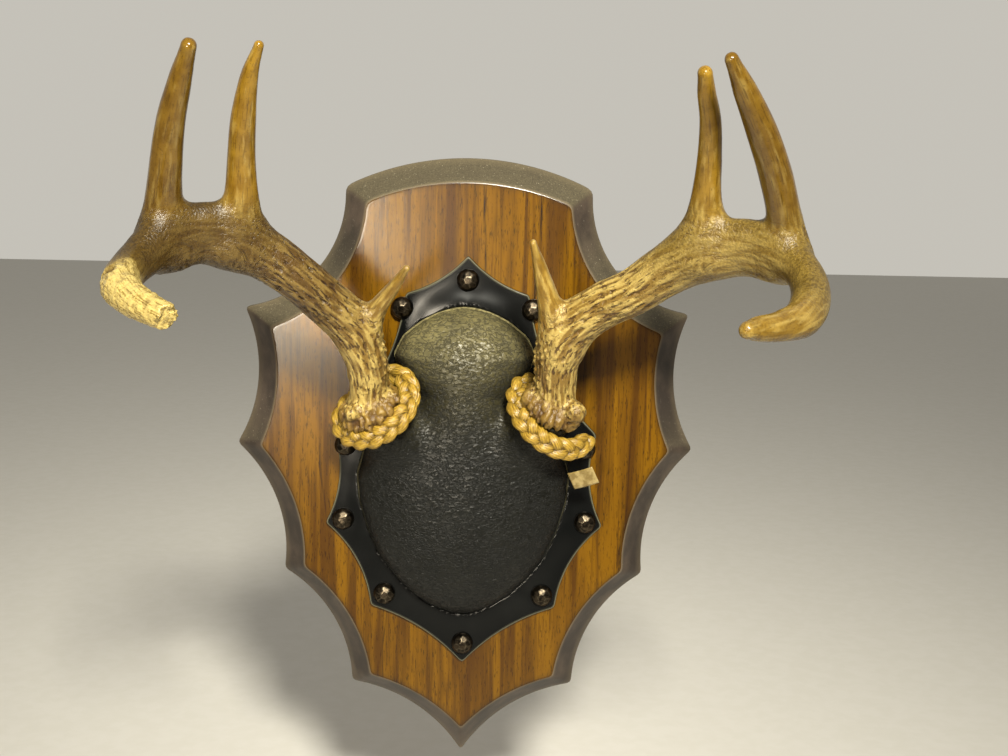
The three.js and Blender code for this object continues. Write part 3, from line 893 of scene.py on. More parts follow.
@dataclass(frozen=True)
class RawBoard(Finish):
    """The board's back: sanded pine, left bare, which looks pale and dry."""

    pale: str = "#cba872"
    tan: str = "#a8804c"
    brown: str = "#8a6233"
    relief: float = 0.15

    def make(self) -> Material:
        """Makes the material."""
        m, shader = self.start()
        long_way = add(m, Kind.STRETCH, add(m, Kind.PLACE), (900.0, 300.0, 40.0))
        rings = add(m, Kind.NOISE, long_way, 0.16, 3.0, 0.6, 0.5)
        lines = add(m, Kind.NOISE, long_way, 0.9, 3.0, 0.55)
        base = self.blend(m, rings, (0.35, 0.62), self.tan, self.pale)
        base = add(m, Kind.MIX, add(m, Kind.RAMP, lines, 0.45, 0.3, 0.0, 0.5), base,
                   colour(self.brown))
        wire(shader, Base_Color=base, Normal=add(m, Kind.BUMP, lines, 0.2, self.relief * MM))
        return m


@dataclass(frozen=True)
class PressedVinyl(Finish):
    """The trim: black vinyl pressed over a form, smooth and glossy, rubbed grey at its rim."""

    black: str = "#050606"
    grey: str = "#0a0b0b"
    rubbed: str = "#77755f"
    relief: float = 0.6

    def make(self) -> Material:
        """Makes the material."""
        m, shader = self.start()
        patch = add(m, Kind.NOISE, add(m, Kind.PLACE), 70.0, 2.0, 0.55)
        base = self.blend(m, patch, (0.4, 0.7), self.black, self.grey)
        worn = add(m, Kind.MULTIPLY, add(m, Kind.STORED, attribute_name="worn"), 0.7)
        base = add(m, Kind.MIX, worn, base, colour(self.rubbed))
        wire(shader, Base_Color=base, Normal=add(m, Kind.BUMP, patch, 0.1, self.relief * MM))
        return m


@dataclass(frozen=True)
class GrainedLeather(Finish):
    """The skull cover: black leather embossed with a creased grain of about 2 mm.

    It has a satin sheen, dull in its creases, and a tan film that is partly dust and partly painted
    top light, strongest high up, where it looks up and on the raised grain. The grain is a cell
    pattern and a folded noise, both bent by a drift. With a small relief and a high roughness it is
    the same leather rolled flat, as on the welt.
    """

    black: str = "#060706"
    grey: str = "#0b0c0a"
    # the film's colour: dust and painted top light together
    dust: str = "#7a724c"
    cell: float = 1.9
    relief: float = 0.4
    dull: float = 0.8
    bend: tuple = (0.0034, 0.0034, 0.0026)

    def make(self) -> Material:
        """Makes the material."""
        m, shader = self.start()
        spot = add(m, Kind.PLACE)
        moved = add(m, Kind.SHIFT, add(m, Kind.DRIFT, spot, 330.0, 2.0), self.bend, spot)
        long_way = add(m, Kind.STRETCH, moved, (0.7, 1.0, 1.35))
        pebble = add(m, Kind.CELLS, long_way, 1 / (self.cell * MM))
        fold = add(m, Kind.NOISE, long_way, 450.0, 2.0, 0.5)
        creased = add(m, Kind.ABSOLUTE, add(m, Kind.SUBTRACT, fold, 0.5))
        wrinkle = add(m, Kind.RAMP, creased, 0.0, 0.08)
        domed = add(m, Kind.RAMP, pebble, 0.65, 0.15)
        height = add(m, Kind.ADD, add(m, Kind.MULTIPLY, wrinkle, 0.6),
                     add(m, Kind.MULTIPLY, domed, 0.4))
        patch = add(m, Kind.NOISE, spot, 60.0, 3.0, 0.55)
        base = self.blend(m, patch, (0.35, 0.7), self.black, self.grey)
        # dust and painted top light: the film shows most on the raised grain
        dust_and_top_light = add(m, Kind.MULTIPLY, add(m, Kind.STORED, attribute_name="dust"),
                     add(m, Kind.RAMP, height, 0.3, 0.85, 0.45, 1.0))
        base = add(m, Kind.MIX, dust_and_top_light, base, colour(self.dust))
        gloss = add(m, Kind.RAMP, height, 0.2, 0.9, self.dull, self.roughness)
        wire(shader, Base_Color=base, Roughness=gloss,
             Normal=add(m, Kind.BUMP, height, 0.9, self.relief * MM))
        return m


@dataclass(frozen=True)
class HammeredBronze(Finish):
    """Nail heads: steel pressed with hammer marks, bronze-plated and blackened in the hollows."""

    bright: str = "#7a705e"
    brown: str = "#443c31"
    black: str = "#1d1a16"
    relief: float = 0.2

    def make(self) -> Material:
        """Makes the material."""
        m, shader = self.start()
        patch = add(m, Kind.NOISE, add(m, Kind.PLACE), 500.0, 3.0, 0.6)
        base = self.blend(m, patch, (0.35, 0.6), self.black, self.brown)
        worn = add(m, Kind.MULTIPLY, add(m, Kind.STORED, attribute_name="worn"), 0.5)
        base = add(m, Kind.MIX, worn, base, colour(self.bright))
        wire(shader, Base_Color=base, Normal=add(m, Kind.BUMP, patch, 0.2, self.relief * MM))
        return m


@dataclass(frozen=True)
class SatinCord(Finish):
    """The plait's strands: shiny golden rayon, whose threads lie about 0.4 mm apart."""

    gold: str = "#6c500e"
    pale: str = "#b4943a"
    shade: str = "#2a1802"
    relief: float = 0.4

    def make(self) -> Material:
        """Makes the material."""
        m, shader = self.start()
        wound = add(m, Kind.STRETCH, add(m, Kind.THREAD), (0.16, 1.0, 1.0))
        threads = add(m, Kind.NOISE, wound, 2.2, 3.0, 0.7)
        base = self.blend(m, threads, (0.34, 0.66), self.gold, self.pale)
        # painted shade: the shade colour darkens the strands where they dip into the plait and
        # between yarns
        base = add(m, Kind.MIX, add(m, Kind.STORED, attribute_name="crease"), base,
                   colour(self.shade))
        wire(shader, Base_Color=base, Normal=add(m, Kind.BUMP, threads, 0.6, self.relief * MM))
        return m


@dataclass(frozen=True)
class OldTape(Finish):
    """Clear adhesive tape gone brown: smooth, thin and partly see-through."""

    brown: str = "#8a7440"
    straw: str = "#b8a36c"
    clearness: float = 0.35

    def make(self) -> Material:
        """Makes the material."""
        m, shader = self.start()
        haze = add(m, Kind.NOISE, add(m, Kind.PLACE), 320.0, 3.0, 0.55)
        base = self.blend(m, haze, (0.35, 0.65), self.brown, self.straw)
        wire(shader, Base_Color=base)
        shader.inputs["Transmission Weight"].default_value = self.clearness
        return m


@dataclass(frozen=True)
class ZincStrip(Finish):
    """The hanger: thin zinc-plated steel strip with faint rolling lines along it."""

    dark: str = "#8f9190"
    bright: str = "#c3c5c4"
    relief: float = 0.1

    def make(self) -> Material:
        """Makes the material."""
        m, shader = self.start()
        rolled = add(m, Kind.STRETCH, add(m, Kind.PLACE), (60.0, 900.0, 3000.0))
        lines = add(m, Kind.NOISE, rolled, 1.0, 3.0, 0.55)
        base = self.blend(m, lines, (0.35, 0.65), self.dark, self.bright)
        wire(shader, Base_Color=base, Normal=add(m, Kind.BUMP, lines, 0.1, self.relief * MM))
        return m


@dataclass(frozen=True)
class StudioPaper(Finish):
    """The floor: plain pale paper."""

    tone: str = "#e2dfd7"
    fibre: str = "#e5e2db"

    def make(self) -> Material:
        """Makes the material."""
        m, shader = self.start()
        fibres = add(m, Kind.NOISE, add(m, Kind.PLACE), 90.0, 2.0, 0.55)
        base = self.blend(m, fibres, (0.3, 0.7), self.tone, self.fibre)
        wire(shader, Base_Color=base)
        return m


# ---- board, trim and nails


@dataclass(frozen=True)
class Scallop:
    """A symmetrical outline of arcs that meet in blunted cusps."""

    corners: tuple
    bows: tuple
    steps: int = 44
    blunting: int = 2

    def ring(self, inset: float) -> Array:
        """Gives the outline drawn in by an inset.

        The arc over an edge of half length h and bow b has radius (h^2 + b^2) / 2b, which the
        inset makes longer where the arc is hollow. Neighbouring arcs end where their circles
        cross. The cusps are blunted by averaging neighbours. Places are complex: x + i z.

        Args:
            inset: How far the outline is drawn in all round.

        Returns:
            The x and z of each point, counter-clockwise for somebody facing the mount.
        """
        right = np.array([complex(x, z) for x, z in self.corners])
        loop = np.concatenate([right, -np.conj(right[right.real > 0][::-1])])
        rest = len(loop) - len(self.bows)
        bow = np.array([*self.bows, *self.bows[:rest][::-1]])
        chord = np.roll(loop, -1) - loop
        half = np.abs(chord) / 2
        outward = -1j * chord / np.abs(chord)
        radius = (half**2 + bow**2) / (2 * np.abs(bow))
        centre = loop + chord / 2 + outward * (bow - np.sign(bow) * radius)
        radius = radius - np.sign(bow) * inset
        last, last_radius = np.roll(centre, 1), np.roll(radius, 1)
        way = (centre - last) / np.abs(centre - last)
        along = (last_radius**2 - radius**2) / (2 * np.abs(centre - last))
        along = along + np.abs(centre - last) / 2
        aside = np.sqrt(np.maximum(0.0, last_radius**2 - along**2))
        options = last + way * along + np.array([[1j], [-1j]]) * way * aside
        cusp = options[np.abs(options - loop).argmin(axis=0), np.arange(len(loop))]
        arm = cusp - centre
        turn = np.angle((np.roll(cusp, -1) - centre) / arm)[:, None]
        share = np.arange(self.steps) / self.steps
        reach = (arm / np.abs(arm) * radius)[:, None]
        points = (centre[:, None] + reach * np.exp(1j * turn * share)).ravel()
        for _ in range(self.blunting):
            points = (np.roll(points, 1) + 2 * points + np.roll(points, -1)) / 4
        return np.stack([points.real, points.imag], axis=1)


def at_depth(flat: Array, depth: float | Array) -> Array:
    """Stands x and z points out from the wall by a depth."""
    return np.stack([flat[:, 0], np.zeros(len(flat)) - depth, flat[:, 1]], axis=1)


@dataclass(frozen=True)
class Board:
    """The shield: a flat board with a scalloped, bevelled edge and a routed slot behind."""

    outline: Scallop = Scallop(
        ((0, -162), (56.5, -124.5), (91, -65), (114.3, 0), (110, 68.5), (60.5, 128.5)),
        (-7.4, -8.8, -8.6, -8.6, -15.3, 14.5))
    edge: tuple = ((0.5, 0, 0), (0, 0.5, 0.3), (0, 2.6, 0.3), (0.3, 3.4, 0.9), (0.8, 4.2, 0.5),
                   (3.5, 8, 0), (7.1, 13.1, 0), (10.2, 17.6, 0), (10.9, 18.55, 0.7),
                   (11.5, 18.95, 1.0))
    face: tuple = ((12.0, 19, 1.0), (12.7, 19, 0.35), (14.5, 19, 0))
    slot: tuple = (60, 14, 104)
    slot_depth: float = 3.6
    oval: tuple = (55, 58, 68)

    def build(self, wood: Material, edge: Material,
              raw: Material) -> None:
        """Skins the board from the slot's floor, over the back and the edge, to the face.

        Each ring of the edge and face is the outline at an inset and depth. On the back, an oval
        ring lies between the outline and the slot: each of its points is where the line from
        the oval's middle to the outline crosses it, and each point of the slot's ring is where
        the line from the slot's middle to the oval crosses the slot's rectangle.

        Args:
            wood: The face's finish.
            edge: The bevelled edge's finish.
            raw: The back's and the slot's finish.
        """
        width, height, z = self.slot
        back = self.outline.ring(1.0)
        middle_z, half_x, half_z = self.oval
        spoke = back - (0, middle_z)
        oval = spoke / np.hypot(spoke[:, 0] / half_x, spoke[:, 1] / half_z)[:, None]
        oval = oval + (0, middle_z)
        away = oval - (0, z)
        reach = np.minimum(width / 2 / np.maximum(np.abs(away[:, 0]), 1e-6),
                           height / 2 / np.maximum(np.abs(away[:, 1]), 1e-6))
        hole = away * reach[:, None]
        for corner in product((-width / 2, width / 2), (-height / 2, height / 2)):
            hole[np.linalg.norm(hole - corner, axis=1).argmin()] = corner
        hole = hole + (0, z)
        rings = [at_depth(hole, self.slot_depth), at_depth(hole, 0), at_depth(oval, 0),
                 at_depth(back, 0)]
        behind = len(rings)
        worn = [0] * behind
        for inset, depth, wear in (*self.edge, *self.face):
            rings.append(at_depth(self.outline.ring(inset), depth))
            worn.append(wear)
        around = len(hole)
        points = np.vstack([*rings, [[0, -self.slot_depth, z], [0, -self.face[0][1], 0]]])
        walls = grid_faces(len(rings), around)
        faces = [walls, fan_faces(0, around, len(points) - 2, False),
                 fan_faces((len(rings) - 1) * around, around, len(points) - 1, True)]
        row = np.arange(len(walls)) // around
        sprayed = row < behind - 1 + len(self.edge)
        finish = np.where(row < behind, 2, np.where(sprayed, 1, 0))
        finish = np.concatenate([finish, np.full(around, 2), np.zeros(around)])
        values = np.append(np.repeat(worn, around), [0, 0])
        piece = make_piece("shield_board", points, faces, [wood, edge, raw], finish,
                           {"worn": values})
        place(piece, Slot.WOOD, "board")


@dataclass(frozen=True)
class Nails:
    """Decorative nails with hammered domes."""

    radius: float = 5.4
    height: float = 4.2
    base: float = 21.6
    rows: int = 16
    columns: int = 40
    facets: tuple = ((1, 90, 0.9), (6, 56, 0.93), (8, 28, 0.95))
    uneven: tuple = (7, 4, 0.008)
    places: tuple = (("top", 0, 85.2), ("upper", 31.5, 71.3), ("side", 58.5, 3.5),
                     ("flank", 59.7, -33.8), ("lower", 39.2, -71.7), ("bottom", 0, -97))

    def spots(self) -> dict[str, tuple[float, float]]:
        """Finds the nails' places.

        Returns:
            The x and z of each nail by its node's name.
        """
        found = {}
        for name, x, z in self.places:
            if x == 0:
                found[f"nail_{name}"] = (x, z)
            else:
                found[f"nail_{name}_left"] = (-x, z)
                found[f"nail_{name}_right"] = (x, z)
        return found

    def dome(self, seed: int) -> tuple[Array, list[Array], Array]:
        """Shapes one hammered dome, with its base on the origin's plane.

        In the direction n the unit dome reaches min over facets of h / (n . m), where m is a
        facet's own direction and h its distance. Near an edge between two facets it is worn.

        Args:
            seed: Which set of hammer marks.

        Returns:
            The vertices, the faces, and how worn each vertex is.
        """
        draw = np.random.default_rng(seed)
        rows = [(360 * i / count + 25 * rise, rise, far) for count, rise, far in self.facets
                for i in range(count)]
        uneven = draw.normal(0, 1, (3, len(rows))) * [[turn] for turn in self.uneven]
        turn, rise, far = np.array(rows).T + uneven
        turn, rise = np.radians(turn), np.radians(rise)
        marks = np.stack([np.cos(rise) * np.cos(turn), -np.sin(rise), np.cos(rise) * np.sin(turn)],
                         axis=1)
        lift = np.linspace(0, math.pi / 2, self.rows, endpoint=False)[:, None]
        angle = np.linspace(0, 2 * math.pi, self.columns, endpoint=False)[None, :]
        ways = np.stack([np.cos(lift) * np.cos(angle), -np.sin(lift) + 0 * angle,
                         np.cos(lift) * np.sin(angle)], axis=-1).reshape(-1, 3)
        ways = np.vstack([ways, [[0, -1, 0]]])
        reach = far / np.maximum(ways @ marks.T, 0.05)
        order = np.sort(reach, axis=1)
        size = np.minimum(join_softly(order[:, 0], order[:, 1], 0.02), 1.0)
        worn = smooth_step(0.03, 0.0, order[:, 1] - order[:, 0])
        points = ways * size[:, None] * (self.radius, self.height, self.radius)
        rim = points[:self.columns] * (0.94, 0, 0.94)
        points = np.vstack([rim, points, [[0, 0, 0]]])
        worn = np.concatenate([np.zeros(self.columns), worn, [0]])
        top, foot = len(points) - 2, len(points) - 1
        faces = [grid_faces(self.rows + 1, self.columns),
                 fan_faces(0, self.columns, foot, False),
                 fan_faces(self.rows * self.columns, self.columns, top, True)]
        return points, faces, worn

    def build(self, bronze: Material) -> None:
        """Makes each nail, hammered in its own way.

        Args:
            bronze: The finish.
        """
        for seed, (node, (x, z)) in enumerate(self.spots().items()):
            points, faces, worn = self.dome(seed + 40)
            piece = make_piece(f"{node}_head", points + (x, -self.base, z), faces, [bronze],
                               attributes={"worn": worn})
            place(piece, Slot.BRONZE, node)


def flat_distance(points: Array, line: Array) -> Array:
    """Distance from each x and z point to the nearest of a line of points."""
    away = points[:, None].astype(np.float32) - line[None].astype(np.float32)
    return np.sqrt((away**2).sum(axis=2).min(axis=1)).astype(float)


def soft_distance(points: Array, line: Array, width: float) -> Array:
    """Distance from points to a line of points, rounded where two parts of it are as near.

    It is -width ln(sum of exp(-d / width) times spacing / (2 width)) over the line's points.

    Args:
        points: The x and z of each point.
        line: The x and z of each point of a closed line.
        width: How widely it is rounded.

    Returns:
        The distance of each point.
    """
    away = np.linalg.norm(points[:, None] - line[None], axis=2)
    spacing = np.linalg.norm(np.roll(line, 1, axis=0) - line, axis=1)
    total = (np.exp(-away / width) * spacing).sum(axis=1)
    return -width * np.log(total / (2 * width))


@dataclass(frozen=True)
class Trim:
    """The pressed trim under the cover: padded between its nails and pinched round them."""

    outline: Scallop = Scallop(
        ((0, -107.7), (46, -78.2), (68.5, -36), (64.5, 10.3), (30, 78.3), (0, 97)),
        (-3.9, -4.8, -4.8, -7, -2.6), steps=40)
    back: float = 19.3
    thickness: float = 2.0
    swell: float = 2.1
    pinch: float = 8.5
    rounding: float = 4.0
    rows: int = 44
    centre: tuple = (0, -6)
    edge: tuple = ((0.3, 0, 0), (0, 0.3, 0), (0, 1.2, 0), (0.15, 1.7, 0.4), (0.4, 1.95, 1.0))
    face_inset: float = 0.7
    rise: tuple = (0.2, 12.0)
    sink: tuple = (-14.0, 6.0)
    reach: float = 0.62
    crowding: float = 1.15

    def build(self, vinyl: Material, cover: "Cover", nails: Nails) -> None:
        """Skins the trim from its back, round its rim, to its middle.

        The height over the flat is swell times a rise from the rim, times
        1 - exp(-(r / pinch)^2) for the distance r to the nearest nail. It sinks a little beside
        the cover, and is flat below it. The face's rows crowd towards the rim.

        Args:
            vinyl: The finish.
            cover: The cover that lies on it.
            nails: The nails that pinch it.
        """
        face = self.back + self.thickness
        outer = self.outline.ring(0)
        rings = [at_depth(self.outline.ring(inset), self.back + up) for inset, up, _ in self.edge]
        worn = [np.full(len(outer), wear) for *_, wear in self.edge]
        start = self.outline.ring(self.face_inset)
        nail_spots = np.array(list(nails.spots().values()))
        cover_edge = cover.rim_line()
        for share in np.linspace(0, 1, self.rows) ** self.crowding:
            flat = start + (np.array(self.centre) - start) * share * self.reach
            inside = cover.covers(flat)
            from_cover = np.where(inside, 0.0, flat_distance(flat, cover_edge))
            from_rim = flat_distance(flat, outer)
            nail = flat_distance(flat, nail_spots)
            deep = soft_distance(flat, outer, self.rounding)
            height = (self.swell * smooth_step(*self.rise, deep)
                      * (1 - np.exp(-(nail / self.pinch)**2)))
            height = np.where(inside, 0.0, height * smooth_step(*self.sink, from_cover))
            rings.append(at_depth(flat, face + height))
            worn.append(smooth_step(1.1, 0.5, from_rim) * 0.4)
        around = len(outer)
        x, z = self.centre
        middle = [[x, -face, z], [x, -self.back, z]]
        points = np.vstack([*rings, middle])
        faces = [grid_faces(len(rings), around),
                 fan_faces(0, around, len(points) - 1, False),
                 fan_faces((len(rings) - 1) * around, around, len(points) - 2, True)]
        values = np.concatenate([*worn, [0, 0]])
        piece = make_piece("pressed_trim", points, faces, [vinyl], attributes={"worn": values})
        place(piece, Slot.TRIM, "trim_plate")


# ---- skull cover and cords


@dataclass(frozen=True)
class Ring:
    """A frame whose middle way, the second, lies along an axis."""

    centre: tuple
    axis: tuple

    def place(self, local: Array) -> Array:
        """Turns local points so that their Y lies along the axis, and moves them there."""
        turn = Vector((0, 1, 0)).rotation_difference(Vector(self.axis).normalized())
        return local @ np.array(turn.to_matrix()).T + np.array(self.centre)

    def find(self, points: Array) -> Array:
        """Gives world points in the ring's own frame."""
        turn = Vector((0, 1, 0)).rotation_difference(Vector(self.axis).normalized())
        return (points - np.array(self.centre)) @ np.array(turn.to_matrix())


@dataclass(frozen=True)
class Cord:
    """A three-strand plait tied round the pedicle, below the burr."""

    side: Side
    ring: Ring
    radius: float
    start: float
    sweep: float
    middle: float
    envelope: float = 4.7
    tuck: float = 5.5
    drop: float = 4.0
    period: float = 21.0
    swing: float = 2.5
    weave: float = 1.3
    strand: float = 2.7
    flatness: float = 0.78
    yarns: int = 11
    twist: float = 0.42
    ridge: float = 0.17
    groove: float = 0.1

    def route(self, count: int = 160) -> Array:
        """Gives the plait's middle line.

        At turn a it lies (radius - tuck w^3) from the axis and drop w^3 below the ring, where
        w = (1 - cos(a - middle)) / 2 grows on the side that is tucked in behind the burr.

        Args:
            count: How many points it has.

        Returns:
            The points.
        """
        angle = np.radians(self.start + self.sweep * np.linspace(0, 1, count))
        away = ((1 - np.cos(angle - math.radians(self.middle))) / 2) ** 3
        reach = self.radius - self.tuck * away
        local = np.stack([reach * np.cos(angle), -self.drop * away, reach * np.sin(angle)], axis=1)
        return self.ring.place(local)

    def trace(self, width: float) -> Trace:
        """Follows the middle line with a round section.

        Args:
            width: The section's width.

        Returns:
            The path.
        """
        middle = self.route()
        sizes = np.tile([width, 1.0], (len(middle), 1))
        axis = unit(np.array(self.ring.axis, dtype=float))
        return Trace.through(np.hstack([middle, sizes]), axis, 0.7)

    def build(self, satin: Material) -> None:
        """Plaits the strands.

        The plait lies flat towards the room. Strand k swings across it by swing sin(p) and in and
        out by weave sin(2p), with p = 2 pi (s / period + k / 3). Its yarns stand out as ridges
        that wind round it, and a vertex gets painted shade near the plait's middle and between
        yarns.

        Args:
            satin: The finish.
        """
        core = self.trace(2 * self.envelope)
        out = unit(core.along * core.along[:, 1:2] - (0, 1, 0))
        across = np.cross(core.along, out)
        points, faces, crease, uv = [], [], [], []
        total = 0
        for k in range(3):
            phase = 2 * math.pi * (core.arc / self.period + k / 3)
            line = (core.centre + across * (self.swing * np.sin(phase))[:, None]
                    + out * (self.weave * np.sin(2 * phase))[:, None])
            sizes = np.tile([2 * self.strand, self.flatness], (len(line), 1))
            strand = Trace.through(np.hstack([line, sizes])[::2], np.array([0, -1.0, 0]), 0.6)
            sides = self.yarns * 4
            skin, blocks = strand.tube(sides)
            nearest = strand.nearest(skin)
            offset = strand.local(skin, nearest)
            angle = np.arctan2(offset[:, 2], offset[:, 1])
            wind = strand.arc[nearest] * self.twist
            ridge = np.abs(np.sin((angle * self.yarns + wind * self.yarns / 2) / 2)) ** 0.6
            swell = (self.ridge * ridge - self.groove)[:, None]
            skin = skin + (skin - strand.centre[nearest]) * swell
            # painted shade: the crease value darkens a strand near the plait's middle and between
            # its yarns
            inner = np.linalg.norm(skin - core.centre[core.nearest(skin)], axis=1)
            crease.append(np.clip(smooth_step(3.6, 1.8, inner) + 0.6 * smooth_step(0.6, 0, ridge),
                                  0, 1))
            uv.append(np.stack([strand.arc[nearest], (angle + wind / 2) * self.strand], axis=1))
            points.append(skin)
            faces.extend(block + total for block in blocks)
            total += len(skin)
        piece = make_piece(f"plaited_cord_{self.side.value}", np.vstack(points), faces, [satin],
                           attributes={"crease": np.concatenate(crease)}, uv=np.vstack(uv))
        place(piece, Slot.CORD, f"cord_{self.side.value}")


@dataclass(frozen=True)
class Sleeve:
    """The covered pedicle that rises out of the dome to a burr."""

    top: Ring
    root: tuple
    width: float = 24.0
    root_width: float = 28.0
    gap: float = 0.8
    steps: tuple = (0.8, 5, 11)

    def trace(self) -> Trace:
        """Follows the sleeve from its top to its root.

        Returns:
            The path.
        """
        axis = unit(np.array(self.top.axis, dtype=float))
        rows = [(*(np.array(self.top.centre) - axis * d), self.width, 1.0) for d in self.steps]
        rows.append((*self.root, self.root_width, 1.0))
        return Trace.through(np.array(rows), np.array([1.0, 0, 0]))


class CoverForm(SoftForm):
    """The dome and its two sleeves, with a trough for each cord."""

    def __init__(self, cover: "Cover") -> None:
        """Prepares the dome's tables, the sleeves and the cords."""
        self.cover = cover
        self.sleeves = [(s.trace(), s.top, s.gap) for s in cover.sleeves]
        self.cords = [cord.trace(2 * cord.envelope) for cord in cover.cords]

    def depth(self, points: Array) -> Array:
        """Joins dome and sleeves softly, presses the cords in, and cuts at the rim.

        The dome is where a^2 + h^2.5 < 1, with a the share of the half width and h the share of
        the crown at that height on the board. The size is that sum to the power 0.45.

        Args:
            points: The places.

        Returns:
            The distance of each point, negative inside.
        """
        half, crown = self.cover.sizes(points[:, 2])
        across = (points[:, 0] - self.cover.centre_x) / half
        height = np.maximum(-self.cover.rim - points[:, 1], 0.0) / crown
        size = (across**2 + height**2.5 + 1e-9) ** 0.45
        whole = (size - 1.0) * np.minimum(half, crown)
        low, high = self.cover.stations[0][0], self.cover.stations[-1][0]
        whole = np.maximum(whole, np.maximum(points[:, 2] - high, low - points[:, 2]))
        for trace, top, gap in self.sleeves:
            sleeve = trace.depth(points, trace.nearest(points))
            level = (points - np.array(top.centre)) @ unit(np.array(top.axis, dtype=float))
            whole = join_softly(whole, np.maximum(sleeve, level + gap), self.cover.fillet)
        for cord in self.cords:
            room = CORD_ROOM - cord.depth(points, cord.nearest(points))
            whole = -join_softly(-whole, -room, self.cover.lip)
        return np.maximum(whole, points[:, 1] + self.cover.rim)


@dataclass(frozen=True)
class Cover:
    """The leather over the skull plate, drawn up round both pedicles."""

    stations: tuple
    sleeves: tuple
    cords: tuple
    centre_x: float = -0.8
    rim: float = 21.6
    cell: float = 1.3
    fillet: float = 9.0
    lip: float = 1.5
    low: tuple = (-72.0, -66.0, -84.0)
    high: tuple = (70.0, -18.0, 76.0)
    crease_size: float = 2.5
    crease_depth: float = 0.2
    fold_size: float = 14.0
    fold_height: float = 0.25
    welt: float = 0.55
    welt_lift: float = 3.0
    welt_out: float = 0.2
    welt_steps: int = 480
    welt_sides: int = 10

    def sizes(self, z: Array) -> tuple[Array, Array]:
        """Eases the stations over about 4 mm.

        Args:
            z: Heights on the board.

        Returns:
            The half width and the crown at each height.
        """
        rows = np.array(self.stations)
        fine = np.arange(rows[0, 0], rows[-1, 0] + 0.25, 0.25)
        ease = np.hanning(19)
        ease = ease / ease.sum()
        found = []
        for column in (1, 2):
            line = np.interp(fine, rows[:, 0], rows[:, column])
            eased = np.convolve(np.pad(line, 9, mode="edge"), ease, mode="valid")
            found.append(np.interp(z, fine, eased))
        return found[0], found[1]

    def rim_line(self) -> Array:
        """Follows the dome's edge on the trim.

        Returns:
            The x and z of each point round a closed loop, counter-clockwise.
        """
        z = np.linspace(self.stations[0][0], self.stations[-1][0], 260)
        half = self.sizes(z)[0]
        right = np.stack([self.centre_x + half, z], axis=1)
        left = np.stack([self.centre_x - half, z], axis=1)[::-1]
        return np.vstack([right, left])

    def covers(self, flat: Array) -> Array:
        """Says which points lie under the dome.

        Args:
            flat: The x and z of each point.

        Returns:
            True for each point that does.
        """
        half = self.sizes(flat[:, 1])[0]
        within = (flat[:, 1] > self.stations[0][0]) & (flat[:, 1] < self.stations[-1][0])
        return within & (np.abs(flat[:, 0] - self.centre_x) < half)

    def build(self, leather: Material, rolled: Material) -> None:
        """Skins the cover, wrinkles it, and lays its welt round the rim.

        Each point moves out by the folds' waves and in along the creases, which are the borders
        between the cells of a swayed pebble pattern. A film of dust and painted top light gathers
        high up and where it looks up.

        Args:
            leather: The embossed leather's finish.
            rolled: The welt's finish.
        """
        form = CoverForm(self)
        points, quads = form.skin(np.array(self.low), np.array(self.high), self.cell)
        normal = unit(form.slope(points, 0.4))
        skin = Lattice(11)
        sway = np.stack([skin.waves(points / 3.4 + 9 * i) for i in range(3)], axis=1)
        near, second = skin.pebbles(points / self.crease_size + 0.5 * sway)
        crease = smooth_step(0.2, 0.0, second - near)
        folds = skin.layers(points / self.fold_size, 2)
        off_rim = smooth_step(0.2, 2.5, -self.rim - points[:, 1])
        rise = (self.fold_height * folds - self.crease_depth * crease) * off_rim
        points = points + normal * rise[:, None]
        # dust and painted top light: the film grows high up and where the dome looks up
        lit = smooth_step(-0.3, 0.8, normal[:, 2])
        upper = smooth_step(-20.0, 68.0, points[:, 2])
        patch = 0.8 + 0.3 * skin.layers(points / 18.0, 2)
        dust = np.clip((0.01 + 0.85 * upper**2.2 * (0.35 + 0.65 * lit)) * patch, 0, 1)
        piece = make_piece("leather_cover", points, [quads], [leather],
                           attributes={"dust": dust})
        place(piece, Slot.LEATHER, "skull_cover")
        self.build_welt(rolled)

    def build_welt(self, rolled: Material) -> None:
        """Lays a round welt along the rim: a circle of radius welt carried round the loop.

        Args:
            rolled: The finish.
        """
        loop = self.rim_line()
        for _ in range(3):
            loop = (np.roll(loop, 1, axis=0) + 2 * loop + np.roll(loop, -1, axis=0)) / 4
        steps = np.linalg.norm(loop - np.roll(loop, 1, axis=0), axis=1)
        travel = np.cumsum(steps)
        even = np.linspace(0, travel[-1], self.welt_steps, endpoint=False)
        x = np.interp(even, travel, loop[:, 0], period=travel[-1])
        z = np.interp(even, travel, loop[:, 1], period=travel[-1])
        along = unit(np.stack([np.roll(x, -1) - np.roll(x, 1), np.roll(z, -1) - np.roll(z, 1)],
                              axis=1))
        angle = np.linspace(0, 2 * math.pi, self.welt_sides, endpoint=False)[:, None]
        out = self.welt_out + self.welt * np.cos(angle)
        y = -self.rim - self.welt * self.welt_lift + self.welt * np.sin(angle) + 0 * x
        points = np.stack([x + along[:, 1] * out, y, z - along[:, 0] * out],
                          axis=-1).reshape(-1, 3)
        faces = grid_faces(self.welt_sides + 1, self.welt_steps) % len(points)
        # dust and painted top light: the welt's film grows towards the top
        piece = make_piece("cover_welt", points, [faces], [rolled],
                           attributes={"dust": smooth_step(-60, 70, points[:, 2]) * 0.9})
        place(piece, Slot.LEATHER, "skull_cover")


